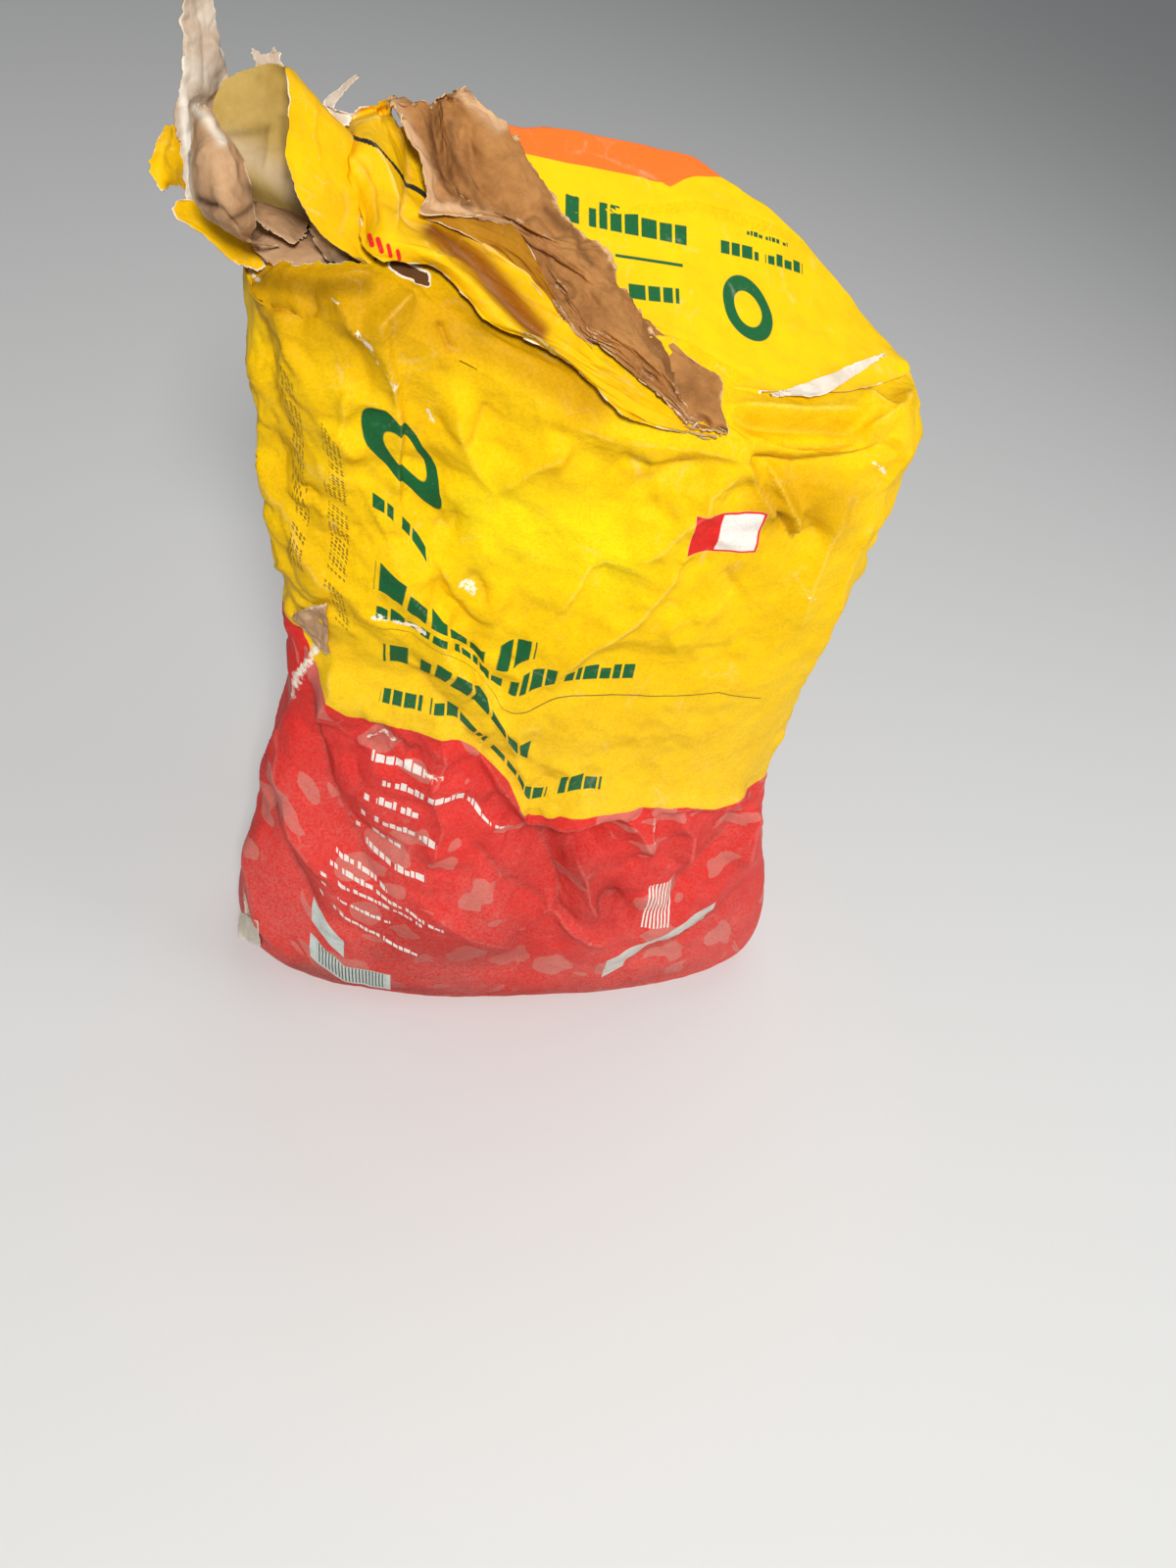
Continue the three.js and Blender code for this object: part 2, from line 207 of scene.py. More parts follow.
# Creases pressed into the paper where the photograph shows them. Each has its height in mm, outwards where
# positive, how far in pixels it reaches to the left and right of its way, and its way in photo pixels.
CREASES = [
    (1.6, 3, 26, [(394, 328), (398, 356), (403, 378), (407, 415), (405, 492), (407, 518)]),
    (3.4, 44, 20, [
        (398, 560), (420, 604), (439, 632), (452, 664), (476, 694), (503, 720), (524, 760), (538, 812),
    ]),
    (-1.6, 24, 24, [(405, 680), (440, 706), (470, 735), (500, 775), (524, 816)]),
    (2.0, 16, 34, [(275, 470), (287, 500), (305, 528), (319, 560), (334, 582), (362, 606), (372, 618)]),
    (1.1, 14, 14, [(344, 303), (356, 320), (366, 336), (394, 329), (420, 300)]),
    (1.2, 12, 12, [(420, 301), (402, 318), (394, 329)]),
    (-1.1, 14, 14, [(258, 311), (287, 314), (305, 328), (316, 314), (317, 296)]),
    (1.3, 12, 20, [(352, 393), (355, 413), (351, 437), (360, 452), (374, 464)]),
    (1.0, 10, 14, [(352, 393), (372, 402), (394, 408)]),
    (-0.9, 8, 8, [(449, 326), (456, 345), (462, 362)]),
    (1.2, 14, 18, [(466, 408), (476, 446), (486, 474), (504, 500)]),
    (-0.9, 12, 12, [(497, 414), (487, 436), (478, 458)]),
    (1.3, 14, 20, [(507, 498), (546, 471), (582, 450)]),
    (1.5, 26, 10, [(560, 628), (576, 610), (591, 588), (599, 571), (616, 563), (643, 572), (671, 585)]),
    (-1.2, 12, 16, [(472, 588), (486, 590), (498, 610)]),
    (-1.0, 12, 14, [(440, 536), (458, 540), (466, 520)]),
    (1.0, 18, 18, [(430, 560), (456, 575), (470, 600), (506, 640)]),
    (2.2, 34, 12, [(560, 694), (602, 655), (646, 626), (677, 592), (702, 554)]),
    (3.2, 20, 26, [(761, 469), (744, 486), (722, 500), (719, 517), (697, 529), (676, 549), (641, 567)]),
    (2.8, 12, 10, [(761, 470), (771, 492), (780, 508), (796, 533)]),
    (-2.4, 8, 12, [(768, 486), (784, 512), (800, 534), (808, 549)]),
    (2.0, 12, 12, [(784, 473), (801, 505), (812, 528), (808, 548)]),
    (-1.6, 16, 18, [(817, 529), (835, 545), (809, 552)]),
    (-3.4, 8, 30, [(761, 470), (784, 474), (817, 480), (855, 472), (878, 465), (893, 455), (909, 440)]),
    (1.5, 18, 24, [(865, 516), (856, 530), (842, 556), (826, 590), (812, 640)]),
    (1.2, 16, 16, [(902, 524), (880, 552), (858, 590), (842, 640), (822, 700)]),
    (-0.9, 10, 12, [(740, 582), (746, 594), (753, 603)]),
    (1.0, 14, 18, [(670, 640), (700, 625), (735, 620)]),
    (-1.0, 20, 20, [(640, 500), (680, 478), (720, 470), (748, 466)]),
    (1.4, 26, 22, [(560, 420), (620, 440), (690, 452), (758, 466)]),
    (1.0, 18, 18, [(430, 745), (470, 752), (512, 792)]),
    (2.6, 22, 4, [(492, 772), (508, 800), (535, 830), (572, 832), (622, 826), (650, 822)]),
    (1.7, 16, 6, [(664, 822), (700, 817), (732, 818), (764, 812)]),
    (-3.0, 12, 12, [(540, 842), (547, 862), (578, 857), (604, 858), (616, 846)]),
    (-2.6, 16, 20, [(541, 847), (556, 880), (567, 908), (569, 932), (590, 940)]),
    (2.2, 20, 22, [(585, 866), (596, 890), (600, 915), (612, 936)]),
    (-2.4, 14, 16, [(612, 936), (614, 924), (632, 920), (640, 930)]),
    (1.8, 8, 14, [(628, 824), (640, 832), (650, 842), (662, 866)]),
    (1.4, 10, 14, [(664, 820), (662, 845), (664, 872)]),
    (-2.2, 18, 22, [(766, 812), (746, 850), (722, 880), (694, 912), (680, 930)]),
    (1.8, 14, 12, [(769, 822), (762, 850), (757, 884)]),
    (1.6, 16, 16, [(688, 830), (705, 850), (700, 885)]),
    (-1.6, 12, 16, [(376, 752), (384, 762), (392, 748), (402, 752)]),
    (1.8, 12, 16, [(452, 752), (456, 772), (448, 792), (436, 800)]),
    (-1.5, 12, 12, [(404, 756), (418, 770), (430, 764)]),
    (-2.6, 20, 22, [(318, 690), (314, 716), (320, 750), (330, 800), (352, 852), (380, 900)]),
    (1.9, 20, 22, [(296, 706), (288, 750), (292, 790), (306, 846), (340, 902)]),
    (-1.8, 18, 20, [(272, 790), (276, 840), (292, 890), (322, 932)]),
    (1.4, 16, 16, [(258, 830), (258, 880), (268, 930), (292, 968)]),
    (1.6, 14, 14, [(338, 676), (344, 702), (332, 726), (322, 742)]),
    (1.3, 16, 20, [(440, 800), (452, 840), (440, 880)]),
    (-1.2, 18, 18, [(480, 860), (520, 900), (560, 930)]),
    (1.4, 14, 12, [(546, 936), (560, 930), (580, 944), (600, 956), (624, 958)]),
    (1.2, 20, 20, [(430, 920), (480, 950), (530, 962)]),
    (-1.4, 12, 30, [(640, 985), (690, 968), (736, 938), (764, 900)]),
    (-1.8, 10, 10, [(303, 636), (312, 650), (322, 664)]),
]
END_CREASES = [
    (-1.6, 8, 14, [(748, 426), (770, 432), (795, 434), (845, 434), (870, 437), (879, 444)]),
    (2.2, 18, 8, [(740, 418), (770, 420), (812, 424), (850, 424), (880, 424)]),
    (2.4, 10, 12, [(879, 444), (898, 435), (912, 427), (926, 404)]),
    (2.0, 8, 10, [(876, 404), (890, 415), (905, 428)]),
    (1.4, 8, 10, [(905, 428), (914, 426), (919, 408)]),
    (-1.4, 14, 14, [(800, 452), (840, 450), (880, 446)]),
    (1.0, 16, 16, [(600, 330), (640, 348), (690, 352)]),
]
# Folds pressed into packed paper are deeper: below these pixels of the photograph.
PACKED_FROM = 760
PACKED_FULLY = 820
# A crease's edge is rounded, and it is rubbed or dusted over this width, in pixels.
CREASE_ROUNDING = 1.2
WEAR_WIDTH = 2.2


def to_photo(points):
    """Photo pixel across, pixel down and distance in front of the lens of each point."""
    offset = points - EYE
    depth = offset @ LOOK
    across = PHOTO_CENTRE[0] + PHOTO_FOCAL * (offset @ ACROSS) / depth
    down = PHOTO_CENTRE[1] + PHOTO_FOCAL * (offset @ DOWN) / depth
    return across, down, depth


def crease_relief(across, down, creases):
    """Relief in mm, ridge wear and hollow depth of a list of creases over photo pixels. A crease falls off
    exponentially on each side of its way and fades towards its two ends."""
    relief = np.zeros_like(across)
    ridge = np.zeros_like(across)
    hollow = np.zeros_like(across)
    for height, left, right, way in creases:
        way = np.array(way, float)
        reach = 4.5 * max(left, right)
        low = way.min(axis=0) - reach
        high = way.max(axis=0) + reach
        near = (across > low[0]) & (across < high[0]) & (down > low[1]) & (down < high[1])
        x = across[near]
        y = down[near]
        best = np.full(x.shape, 1e9)
        side = np.zeros(x.shape)
        place = np.zeros(x.shape)
        run = 0.0
        total = np.hypot(*np.diff(way, axis=0).T).sum()
        for (ax, ay), (bx, by) in zip(way[:-1], way[1:]):
            length = math.hypot(bx - ax, by - ay)
            t = np.clip(((x - ax) * (bx - ax) + (y - ay) * (by - ay)) / length**2, 0, 1)
            gap = np.hypot(x - ax - t * (bx - ax), y - ay - t * (by - ay))
            closer = gap < best
            turn = (bx - ax) * (y - ay) - (by - ay) * (x - ax)
            best = np.where(closer, gap, best)
            side = np.where(closer, np.sign(turn), side)
            place = np.where(closer, (run + t * length) / total, place)
            run += length
        width = 0.62 * np.where(side < 0, left, right)
        shape = np.exp(-(np.hypot(best, CREASE_ROUNDING) - CREASE_ROUNDING) / width)
        fade = np.minimum(step(place, -0.12, 0.22), step(1 - place, -0.12, 0.22))
        relief[near] += height * shape * fade
        wear = np.exp(-((best / WEAR_WIDTH) ** 2)) * fade * min(1.0, 0.4 + abs(height) / 3)
        if height > 0:
            ridge[near] = np.maximum(ridge[near], wear)
        else:
            hollow[near] = np.maximum(hollow[near], wear)
    return relief, ridge, hollow


# Places rubbed white and scarred, each with its radius in pixels and its way in photo pixels.
RUBS = [
    (7, [(233, 250), (243, 268), (262, 284)]),
    (6, [(368, 334), (378, 346), (386, 362)]),
    (5, [(398, 372), (404, 386)]),
    (5, [(436, 418), (442, 430)]),
    (4, [(341, 306), (350, 312)]),
    (4, [(410, 262), (430, 280)]),
    (5, [(896, 474), (908, 486)]),
    (4, [(820, 602), (830, 608)]),
    (9, [(320, 636), (318, 665), (300, 705), (285, 725), (278, 750), (262, 782)]),
    (5, [(384, 622), (410, 633), (432, 641)]),
    (5, [(474, 590), (486, 600)]),
    (2, [(664, 826), (663, 845), (664, 866)]),
    (4, [(376, 752), (392, 750), (402, 756)]),
    (4, [(436, 786), (452, 788)]),
    (8, [(252, 860), (250, 900), (262, 940)]),
]
SCARS = [
    (9, [(404, 270), (416, 277), (432, 284)]),
    (4, [(425, 288), (436, 290)]),
]
# Some places are darker and some lighter: partly the paper's real soiling, and partly painted shade under the
# folds, the lip and the rim, near the floor and in the red creases, and painted light on the front's middle.
# Each place has its tone, its radius in pixels and its way in photo pixels.
LIGHT_SHADE_AND_SOIL_TONES = [
    (0.5, 60, [(500, 530), (560, 550), (620, 560)]),
    (-0.7, 34, [(780, 520), (850, 515)]),
    (-0.8, 46, [(260, 296), (330, 306), (400, 312), (450, 326)]),
    (-1.1, 30, [(500, 336), (548, 372), (600, 404)]),
    (-0.9, 15, [(268, 284), (300, 290), (336, 292), (372, 290)]),
    (-0.3, 60, [(300, 380), (420, 380)]),
    (-0.4, 40, [(330, 580), (300, 460)]),
    (-0.9, 20, [(300, 994), (380, 1018), (480, 1030), (620, 1024), (750, 1004)]),
    (-0.5, 34, [(400, 960), (470, 975), (520, 960)]),
    (-0.5, 26, [(560, 850), (600, 890), (620, 930)]),
]
# Where handling has broken the paper into small sharp facets.
CRISP = [
    (1.0, 46, [(262, 330), (268, 430), (300, 540), (330, 600)]),
    (0.6, 40, [(380, 600), (460, 660), (500, 720)]),
    (0.8, 46, [(560, 840), (620, 880), (660, 930)]),
    (0.5, 40, [(640, 470), (700, 500), (790, 520)]),
]
# Where the paper is drawn taut and has few folds.
CALM = [
    (0.9, 55, [(830, 590), (800, 680), (770, 760)]),
    (0.6, 45, [(600, 720), (690, 740)]),
    (0.5, 50, [(480, 520), (580, 520)]),
    (0.6, 45, [(700, 200), (850, 300)]),
]
# Loose paper folds in facets of four sizes in mm, each with its height in mm and its seed. It is busier in
# some places than in others, and crisp places have more of the two small sizes.
FOLD_SIZES = (46.0, 21.0, 10.0, 5.2)
FOLD_HEIGHTS = (3.4, 4.8, 2.3, 0.5)
FOLD_SEEDS = (11, 23, 37, 41)
CRISP_HEIGHTS = (2.0, 1.1)
BUSY_SIZE = 60.0
BUSY_SEED = 53
LATTICE = 64


def near_ways(across, down, ways):
    """Nearness, from 0 to 1, to short ways in photo pixels, each with its own radius."""
    near = np.zeros_like(across)
    for radius, way in ways:
        for (ax, ay), (bx, by) in zip(way[:-1], way[1:]):
            t = ((across - ax) * (bx - ax) + (down - ay) * (by - ay)) / ((bx - ax) ** 2 + (by - ay) ** 2)
            t = np.clip(t, 0, 1)
            gap = np.hypot(across - ax - t * (bx - ax), down - ay - t * (by - ay))
            near = np.maximum(near, np.exp(-((gap / radius) ** 2)))
    return near


def soft_ways(across, down, ways):
    """Sum of soft signed places, each a way in photo pixels with a tone and a radius."""
    total = np.zeros_like(across)
    for tone, radius, way in ways:
        total += tone * near_ways(across, down, [(radius, way)])
    return total


def facets(across, up, size, seed):
    """Relief of folded paper from -1 to 1: straight folds between random heights at the corners of a
    lattice of triangles, whose lines are bent by slow waves so that no two run parallel."""
    rng = np.random.default_rng(seed)
    turn = rng.uniform(0, math.pi)
    wave = rng.uniform(0, 2 * math.pi, 4)
    a = (across * math.cos(turn) - up * math.sin(turn)) / size
    b = (across * math.sin(turn) + up * math.cos(turn)) / size
    a, b = (
        a + 0.45 * np.sin(1.3 * b + wave[0]) + 0.22 * np.sin(2.9 * a + 1.1 * b + wave[1]),
        b + 0.45 * np.sin(1.1 * a + wave[2]) + 0.22 * np.sin(3.1 * b - 1.3 * a + wave[3]),
    )
    p = a - b / math.sqrt(3)
    q = 2 * b / math.sqrt(3)
    i = np.floor(p).astype(int)
    j = np.floor(q).astype(int)
    fp = p - i
    fq = q - j
    table = rng.uniform(-1, 1, (LATTICE, LATTICE))

    def value(right, up):
        """Random height of the lattice's corner so many steps on."""
        return table[(i + right) % LATTICE, (j + up) % LATTICE]

    lower = value(0, 0) * (1 - fp - fq) + value(1, 0) * fp + value(0, 1) * fq
    upper = value(1, 1) * (fp + fq - 1) + value(1, 0) * (1 - fq) + value(0, 1) * (1 - fp)
    return np.where(fp + fq < 1, lower, upper)


def crumple_sheet(points, distance, height, normal, strength):
    """Moves a grid of the sack in and out along its normal and returns it with its wear values and its tone,
    which is partly soiling and partly painted light and shade. The pressed creases and places count only
    where the photograph sees the paper, and the loose folds everywhere."""
    across, down, _ = to_photo(points)
    toward = EYE - points
    toward /= np.linalg.norm(toward, axis=-1, keepdims=True)
    seen = step(np.sum(normal * toward, axis=-1), 0.05, 0.3)
    scar = near_ways(across, down, SCARS) * seen
    relief, ridge, hollow = crease_relief(across, down, CREASES + END_CREASES)
    # The tone is partly soiling and partly painted light and shade.
    tone = soft_ways(across, down, LIGHT_SHADE_AND_SOIL_TONES) * seen
    folds = [facets(distance, height, size, seed) for size, seed in zip(FOLD_SIZES, FOLD_SEEDS)]
    calm = np.clip(soft_ways(across, down, CALM) * seen, 0, 0.8)
    busy = 0.75 + 0.45 * facets(distance, height, BUSY_SIZE, BUSY_SEED)
    fine = busy * sum(rise * fold for rise, fold in zip(FOLD_HEIGHTS[1:], folds[1:]))
    loose = strength * (1 - calm) * (FOLD_HEIGHTS[0] * folds[0] + fine)
    crisp = np.clip(soft_ways(across, down, CRISP) * seen, 0, 1)
    loose = loose + strength * crisp * (CRISP_HEIGHTS[0] * folds[2] + CRISP_HEIGHTS[1] * folds[3])
    packed = 1 + 0.4 * step(down, PACKED_FROM, PACKED_FULLY)
    pressed = 5.6 * relief / (1 + 0.34 * np.abs(relief)) * packed
    moved = points + normal * ((pressed * seen + loose) * MM)[..., None]
    rub = 0.62 * near_ways(across, down, RUBS) * seen
    return moved, {"ridge": ridge * seen, "hollow": hollow * seen, "rub": rub, "scar": scar, "tone": tone}


def print_height(distance, height, place):
    """Height in mm on the printed sheet above the border of yellow and red. Right of the long pleat the
    sheet has slipped down, and round the back the border runs evenly from one side to the other. place
    goes from -1 to 1 between the two sides of the rear seam."""
    fold = np.interp(height, [0, 210, 240, 270, 285, 307, 400], [-33, -33, -44, -52, -60, -80, -88])
    offset = distance - fold
    slip = np.interp(height, [190, 275], [44, 27]) * step(offset, -18, 18)
    slip += 10 * np.exp(-(((offset - 20) / 14) ** 2)) + 0.25 * np.maximum(0, distance - 70)
    slip *= step(height, 155, 195)
    slip = np.minimum(slip, 62)
    left = -0.9 * np.clip(-110 - distance, 0, 40)
    front = height - 240 + slip + left
    border = np.interp(place, [-1, -0.65, -0.4, 0.4, 0.65, 1], [225, 262, 280, 178, 180, 225])
    return front + (height - border - front) * step(np.abs(distance), 128, 175)


def normals_of(points, wrap=False):
    """Unit normal of each point of a grid from its neighbours in both directions."""
    if wrap:
        across = np.roll(points, -1, axis=1) - np.roll(points, 1, axis=1)
    else:
        across = np.gradient(points, axis=1)
    along_rows = np.gradient(points, axis=0)
    normal = np.cross(across, along_rows)
    return normal / np.maximum(np.linalg.norm(normal, axis=-1, keepdims=True), 1e-12)


# The inner ply and the mix follow the sheet this far inside it, in metres.
LINER_INSET = 0.014
# A torn border's value falls off over so many rows of its grid, here and in the other pieces.
END_FRAY = 3.0


def sack_parts():
    """Points, normals, print places, wear and tones of the whole sack, the tones partly painted light and
    shade, and the same sheet without its folds moved inwards, as the inner ply and the mix follow it."""
    wall, distance = wall_grid()
    end, inside = end_grid(wall[-1], MOUTH_ROUGHNESS)
    whole = np.concatenate([wall, end[1:]], axis=0) * MM
    normal = normals_of(whole, wrap=True)
    reach = np.concatenate([distance, np.repeat(distance[-1:], END_ROWS - 1, axis=0)], axis=0)
    level = np.concatenate([wall[..., 2], wall[-1:, :, 2] + inside[1:]], axis=0)
    seam = step(np.abs(reach) / np.abs(reach).max(axis=1, keepdims=True), 1.0, 0.93)
    tight = np.interp(level, [0, 6, 40, 150, 230, 400, 440, 470], [0, 0.1, 0.3, 0.6, 0.8, 0.75, 0.45, 0.32])
    deep = np.concatenate([np.zeros_like(distance), inside[1:]], axis=0)
    tight = tight * (1 - 0.8 * step(deep, 6, 22))
    moved, wear = crumple_sheet(whole, reach, level, normal, tight * seam)
    moved[..., 2] = np.maximum(moved[..., 2], 0.0)
    smooth = normals_of(moved, wrap=True)
    half = np.abs(reach[:, :1])
    up = print_height(reach, level, reach / half)
    loop = 2 * half
    uv = np.stack([reach, up], axis=-1)
    last = np.stack([reach[:, :1] + loop, up[:, :1]], axis=-1)
    uv = np.concatenate([uv, last], axis=1) * MM
    return moved, smooth, uv, wear, whole - normal * LINER_INSET


def rgb(code):
    """Linear colour with alpha of a six-figure hexadecimal sRGB colour."""
    parts = [int(code[i:i + 2], 16) / 255 for i in (0, 2, 4)]
    return tuple(c / 12.92 if c <= 0.04045 else ((c + 0.055) / 1.055) ** 2.4 for c in parts) + (1.0,)


# The print is flat inks on white-coated paper: yellow above, red with pale pebbles below, green and white
# words and a black rule. The words are bare bars in groups, with plain rings and boxes beside them.
INK_YELLOW = (0.90, 0.56, 0.002, 1.0)
INK_YELLOW_DEEP = (0.84, 0.48, 0.002, 1.0)
# Tone colours: cleaner with painted light, soiled with painted shade, and deeper painted shade.
INK_CLEAN_AND_LIT = (0.95, 0.80, 0.004, 1.0)
INK_SOILED_AND_SHADED = (0.60, 0.31, 0.002, 1.0)
INK_SHADED = (0.34, 0.17, 0.002, 1.0)
INK_RED = (0.72, 0.022, 0.018, 1.0)
INK_RED_SOILED_AND_SHADED = (0.34, 0.008, 0.007, 1.0)
INK_PINK = (0.66, 0.15, 0.12, 1.0)
INK_GREEN = rgb("1D5E33")
INK_WHITE = rgb("EFE6DC")
INK_BLACK = rgb("2B2A22")
PANEL_GREEN = rgb("3F5750")
PANEL_PALE = rgb("C9D2CB")
LABEL_PALE = rgb("CFC9C0")
COATING = rgb("F1E6D2")
CEMENT = rgb("B5A99B")
TORN_FIBRE = rgb("E9E2D4")
# Grime and painted shade in the crease hollows.
HOLLOW_GRIME_AND_SHADE = (0.42, 0.30, 0.22, 1.0)
SPECKS = (0.45, 0.38, 0.3, 1.0)
BARED_BROWN = (0.12, 0.05, 0.018, 1.0)
PAPER_GLOSS = 0.08
FIBRE_HEIGHT = 0.00006
PRINT_BLUR = 0.0004
ORIGIN = (0.0, 0.0, 0.0)


def node(tree, kind, feeds=None, **settings):
    """Adds a node. Its settings are set by name, and its inputs by socket name or number."""
    made = tree.nodes.new("ShaderNode" + kind)
    for name, value in settings.items():
        setattr(made, name, value)
    for name, value in (feeds or {}).items():
        if isinstance(value, bpy.types.NodeSocket):
            tree.links.new(value, made.inputs[name])
        else:
            made.inputs[name].default_value = value
    return made


def calc(tree, operation, a, b=0.0, clamp=False):
    """Result of a Math node."""
    return node(tree, "Math", {0: a, 1: b}, operation=operation, use_clamp=clamp).outputs[0]


def times(tree, a, b):
    """Product of two values."""
    return calc(tree, "MULTIPLY", a, b)


def ramp(tree, value, low, high, out_low=0.0, out_high=1.0):
    """Smooth step of a value from one level to another."""
    feeds = {"Value": value, "From Min": low, "From Max": high, "To Min": out_low, "To Max": out_high}
    return node(tree, "MapRange", feeds, interpolation_type="SMOOTHSTEP").outputs["Result"]


def mix_colour(tree, factor, a, b, blend="MIX"):
    """Colour a with b laid over it by a factor."""
    return node(tree, "Mix", {0: factor, 6: a, 7: b}, data_type="RGBA", blend_type=blend).outputs[2]


def noise(tree, where, scale, detail=3.0, rough=0.55, distortion=0.0):
    """Value of a noise texture, from 0 to 1, with its scale in waves per metre."""
    feeds = {"Vector": where, "Scale": scale, "Detail": detail, "Roughness": rough, "Distortion": distortion}
    return node(tree, "TexNoise", feeds).outputs["Fac"]


def attribute(tree, name):
    """One of the sheet's vertex values."""
    return node(tree, "Attribute", attribute_name=name).outputs["Fac"]


def effect(name, inputs, *outputs):
    """New shader node group with the named inputs and float outputs, and the sockets of its two end nodes."""
    group = bpy.data.node_groups.new(name, "ShaderNodeTree")
    for label, default in inputs.items():
        kind = "NodeSocketVector" if isinstance(default, tuple) else "NodeSocketFloat"
        socket = group.interface.new_socket(label, in_out="INPUT", socket_type=kind)
        socket.default_value = default
    for label in outputs:
        group.interface.new_socket(label, in_out="OUTPUT", socket_type="NodeSocketFloat")
    start = group.nodes.new("NodeGroupInput")
    end = group.nodes.new("NodeGroupOutput")
    return group, start.outputs, end.inputs


def use(tree, group, feeds=None):
    """Puts an effect into a material and returns its outputs."""
    return node(tree, "Group", feeds, node_tree=group).outputs


def bent(tree, where, scale, detail, reach):
    """A place moved about by a noise, up to half its reach in metres each way."""
    bend = node(tree, "TexNoise", {"Vector": where, "Scale": scale, "Detail": detail}).outputs["Color"]
    shift = node(tree, "VectorMath", {0: bend, 1: (0.5, 0.5, 0.5)}, operation="SUBTRACT").outputs[0]
    shift = node(tree, "VectorMath", {0: shift, "Scale": reach}, operation="SCALE").outputs[0]
    return node(tree, "VectorMath", {0: where, 1: shift}, operation="ADD").outputs[0]


def crumple_effect():
    """Height and crease mask of fine crumpling: distances to the borders of cells at three sizes."""
    group, given, made = effect("crumpled_paper", {"Position": ORIGIN, "Cell": 0.02}, "Height", "Crease")
    where = bent(group, given["Position"], 45.0, 2.0, 0.012)
    height = None
    crease = None
    for size, weight in ((1.0, 1.0), (0.45, 0.45), (0.2, 0.2)):
        scale = calc(group, "DIVIDE", 1.0 / size, given["Cell"])
        feeds = {"Vector": where, "Scale": scale}
        cells = node(group, "TexVoronoi", feeds, feature="F1").outputs
        edges = node(group, "TexVoronoi", feeds, feature="DISTANCE_TO_EDGE").outputs
        rise = times(group, cells["Distance"], weight)
        line = times(group, ramp(group, edges["Distance"], 0.05, 0.0), weight)
        height = rise if height is None else calc(group, "ADD", height, rise)
        crease = line if crease is None else calc(group, "MAXIMUM", crease, line)
    group.links.new(height, made["Height"])
    group.links.new(crease, made["Crease"])
    return group


def fibre_effect():
    """Height of the paper's fibres and a slow cloudiness of its pulp."""
    group, given, made = effect("paper_fibre", {"Position": ORIGIN}, "Height", "Cloud")
    fine = noise(group, given["Position"], scale=1400.0, detail=2.0)
    coarse = noise(group, given["Position"], scale=420.0, detail=3.0, rough=0.6, distortion=0.6)
    total = calc(group, "ADD", times(group, fine, 0.5), coarse)
    cloud = noise(group, given["Position"], scale=60.0, detail=4.0, rough=0.65)
    group.links.new(total, made["Height"])
    group.links.new(cloud, made["Cloud"])
    return group


def dust_effect():
    """Mask of cement dust: thicker low down, in hollows and in patches, with loose specks."""
    given = {"Position": ORIGIN, "Hollow": 0.0, "Low": 0.06, "High": 0.3, "Base": 0.1}
    group, given, made = effect("cement_dust", given, "Mask")
    level = node(group, "SeparateXYZ", {0: given["Position"]}).outputs["Z"]
    drift = noise(group, given["Position"], scale=14.0, detail=5.0, rough=0.6)
    patch = noise(group, given["Position"], scale=70.0, detail=4.0, rough=0.7)
    grain = noise(group, given["Position"], scale=620.0, detail=3.0, rough=0.7)
    speck = noise(group, given["Position"], scale=900.0, detail=1.0)
    feeds = {"Value": level, "From Min": given["High"], "From Max": given["Low"]}
    fall = node(group, "MapRange", feeds).outputs[0]
    cover = times(group, fall, ramp(group, drift, 0.3, 0.75, 0.35, 1.0))
    cover = calc(group, "ADD", cover, given["Base"])
    cover = times(group, cover, ramp(group, patch, 0.25, 0.8, 0.8, 1.15))
    cover = times(group, cover, ramp(group, grain, 0.35, 0.62, 0.35, 1.5))
    cover = calc(group, "ADD", cover, times(group, ramp(group, speck, 0.69, 0.74), 0.35))
    cover = calc(group, "ADD", cover, times(group, given["Hollow"], 0.2), clamp=True)
    group.links.new(cover, made["Mask"])
    return group


def torn_effect():
    """Mask of the fuzzy fibre along a torn border: where the sheet's torn value, which nears 1 there, and two
    noises pass a limit."""
    group, given, made = effect("torn_fibre", {"Position": ORIGIN, "Torn": 0.0}, "Mask")
    fuzz = noise(group, given["Position"], scale=420.0, detail=4.0, rough=0.75)
    slow = noise(group, given["Position"], scale=75.0, detail=2.0)
    edge = calc(group, "ADD", given["Torn"], ramp(group, slow, 0.3, 0.7, -0.12, 0.42))
    edge = calc(group, "ADD", edge, times(group, fuzz, 0.6))
    group.links.new(ramp(group, edge, 1.05, 1.3), made["Mask"])
    return group


def wear_effect(crumple):
    """Mask of ink rubbed off: along pressed ridges where a noise is high, and in patches along the crumple's
    fine creases. Rubbed and Fine say how strong each is."""
    given = {"Position": ORIGIN, "Ridge": 0.0, "Cell": 0.02, "Rubbed": 0.1, "Fine": 0.1}
    group, given, made = effect("worn_ink", given, "Mask")
    folds = use(group, crumple, {"Position": given["Position"], "Cell": given["Cell"]})
    handled = noise(group, given["Position"], scale=260.0, detail=4.0, rough=0.7)
    patchy = noise(group, given["Position"], scale=55.0, detail=4.0, rough=0.7)
    rubbed = ramp(group, calc(group, "ADD", given["Ridge"], handled), 0.98, 1.35)
    fine = times(group, folds["Crease"], ramp(group, patchy, 0.52, 0.72))
    rubbed = times(group, rubbed, given["Rubbed"])
    fine = times(group, fine, given["Fine"])
    group.links.new(calc(group, "MAXIMUM", rubbed, fine), made["Mask"])
    return group


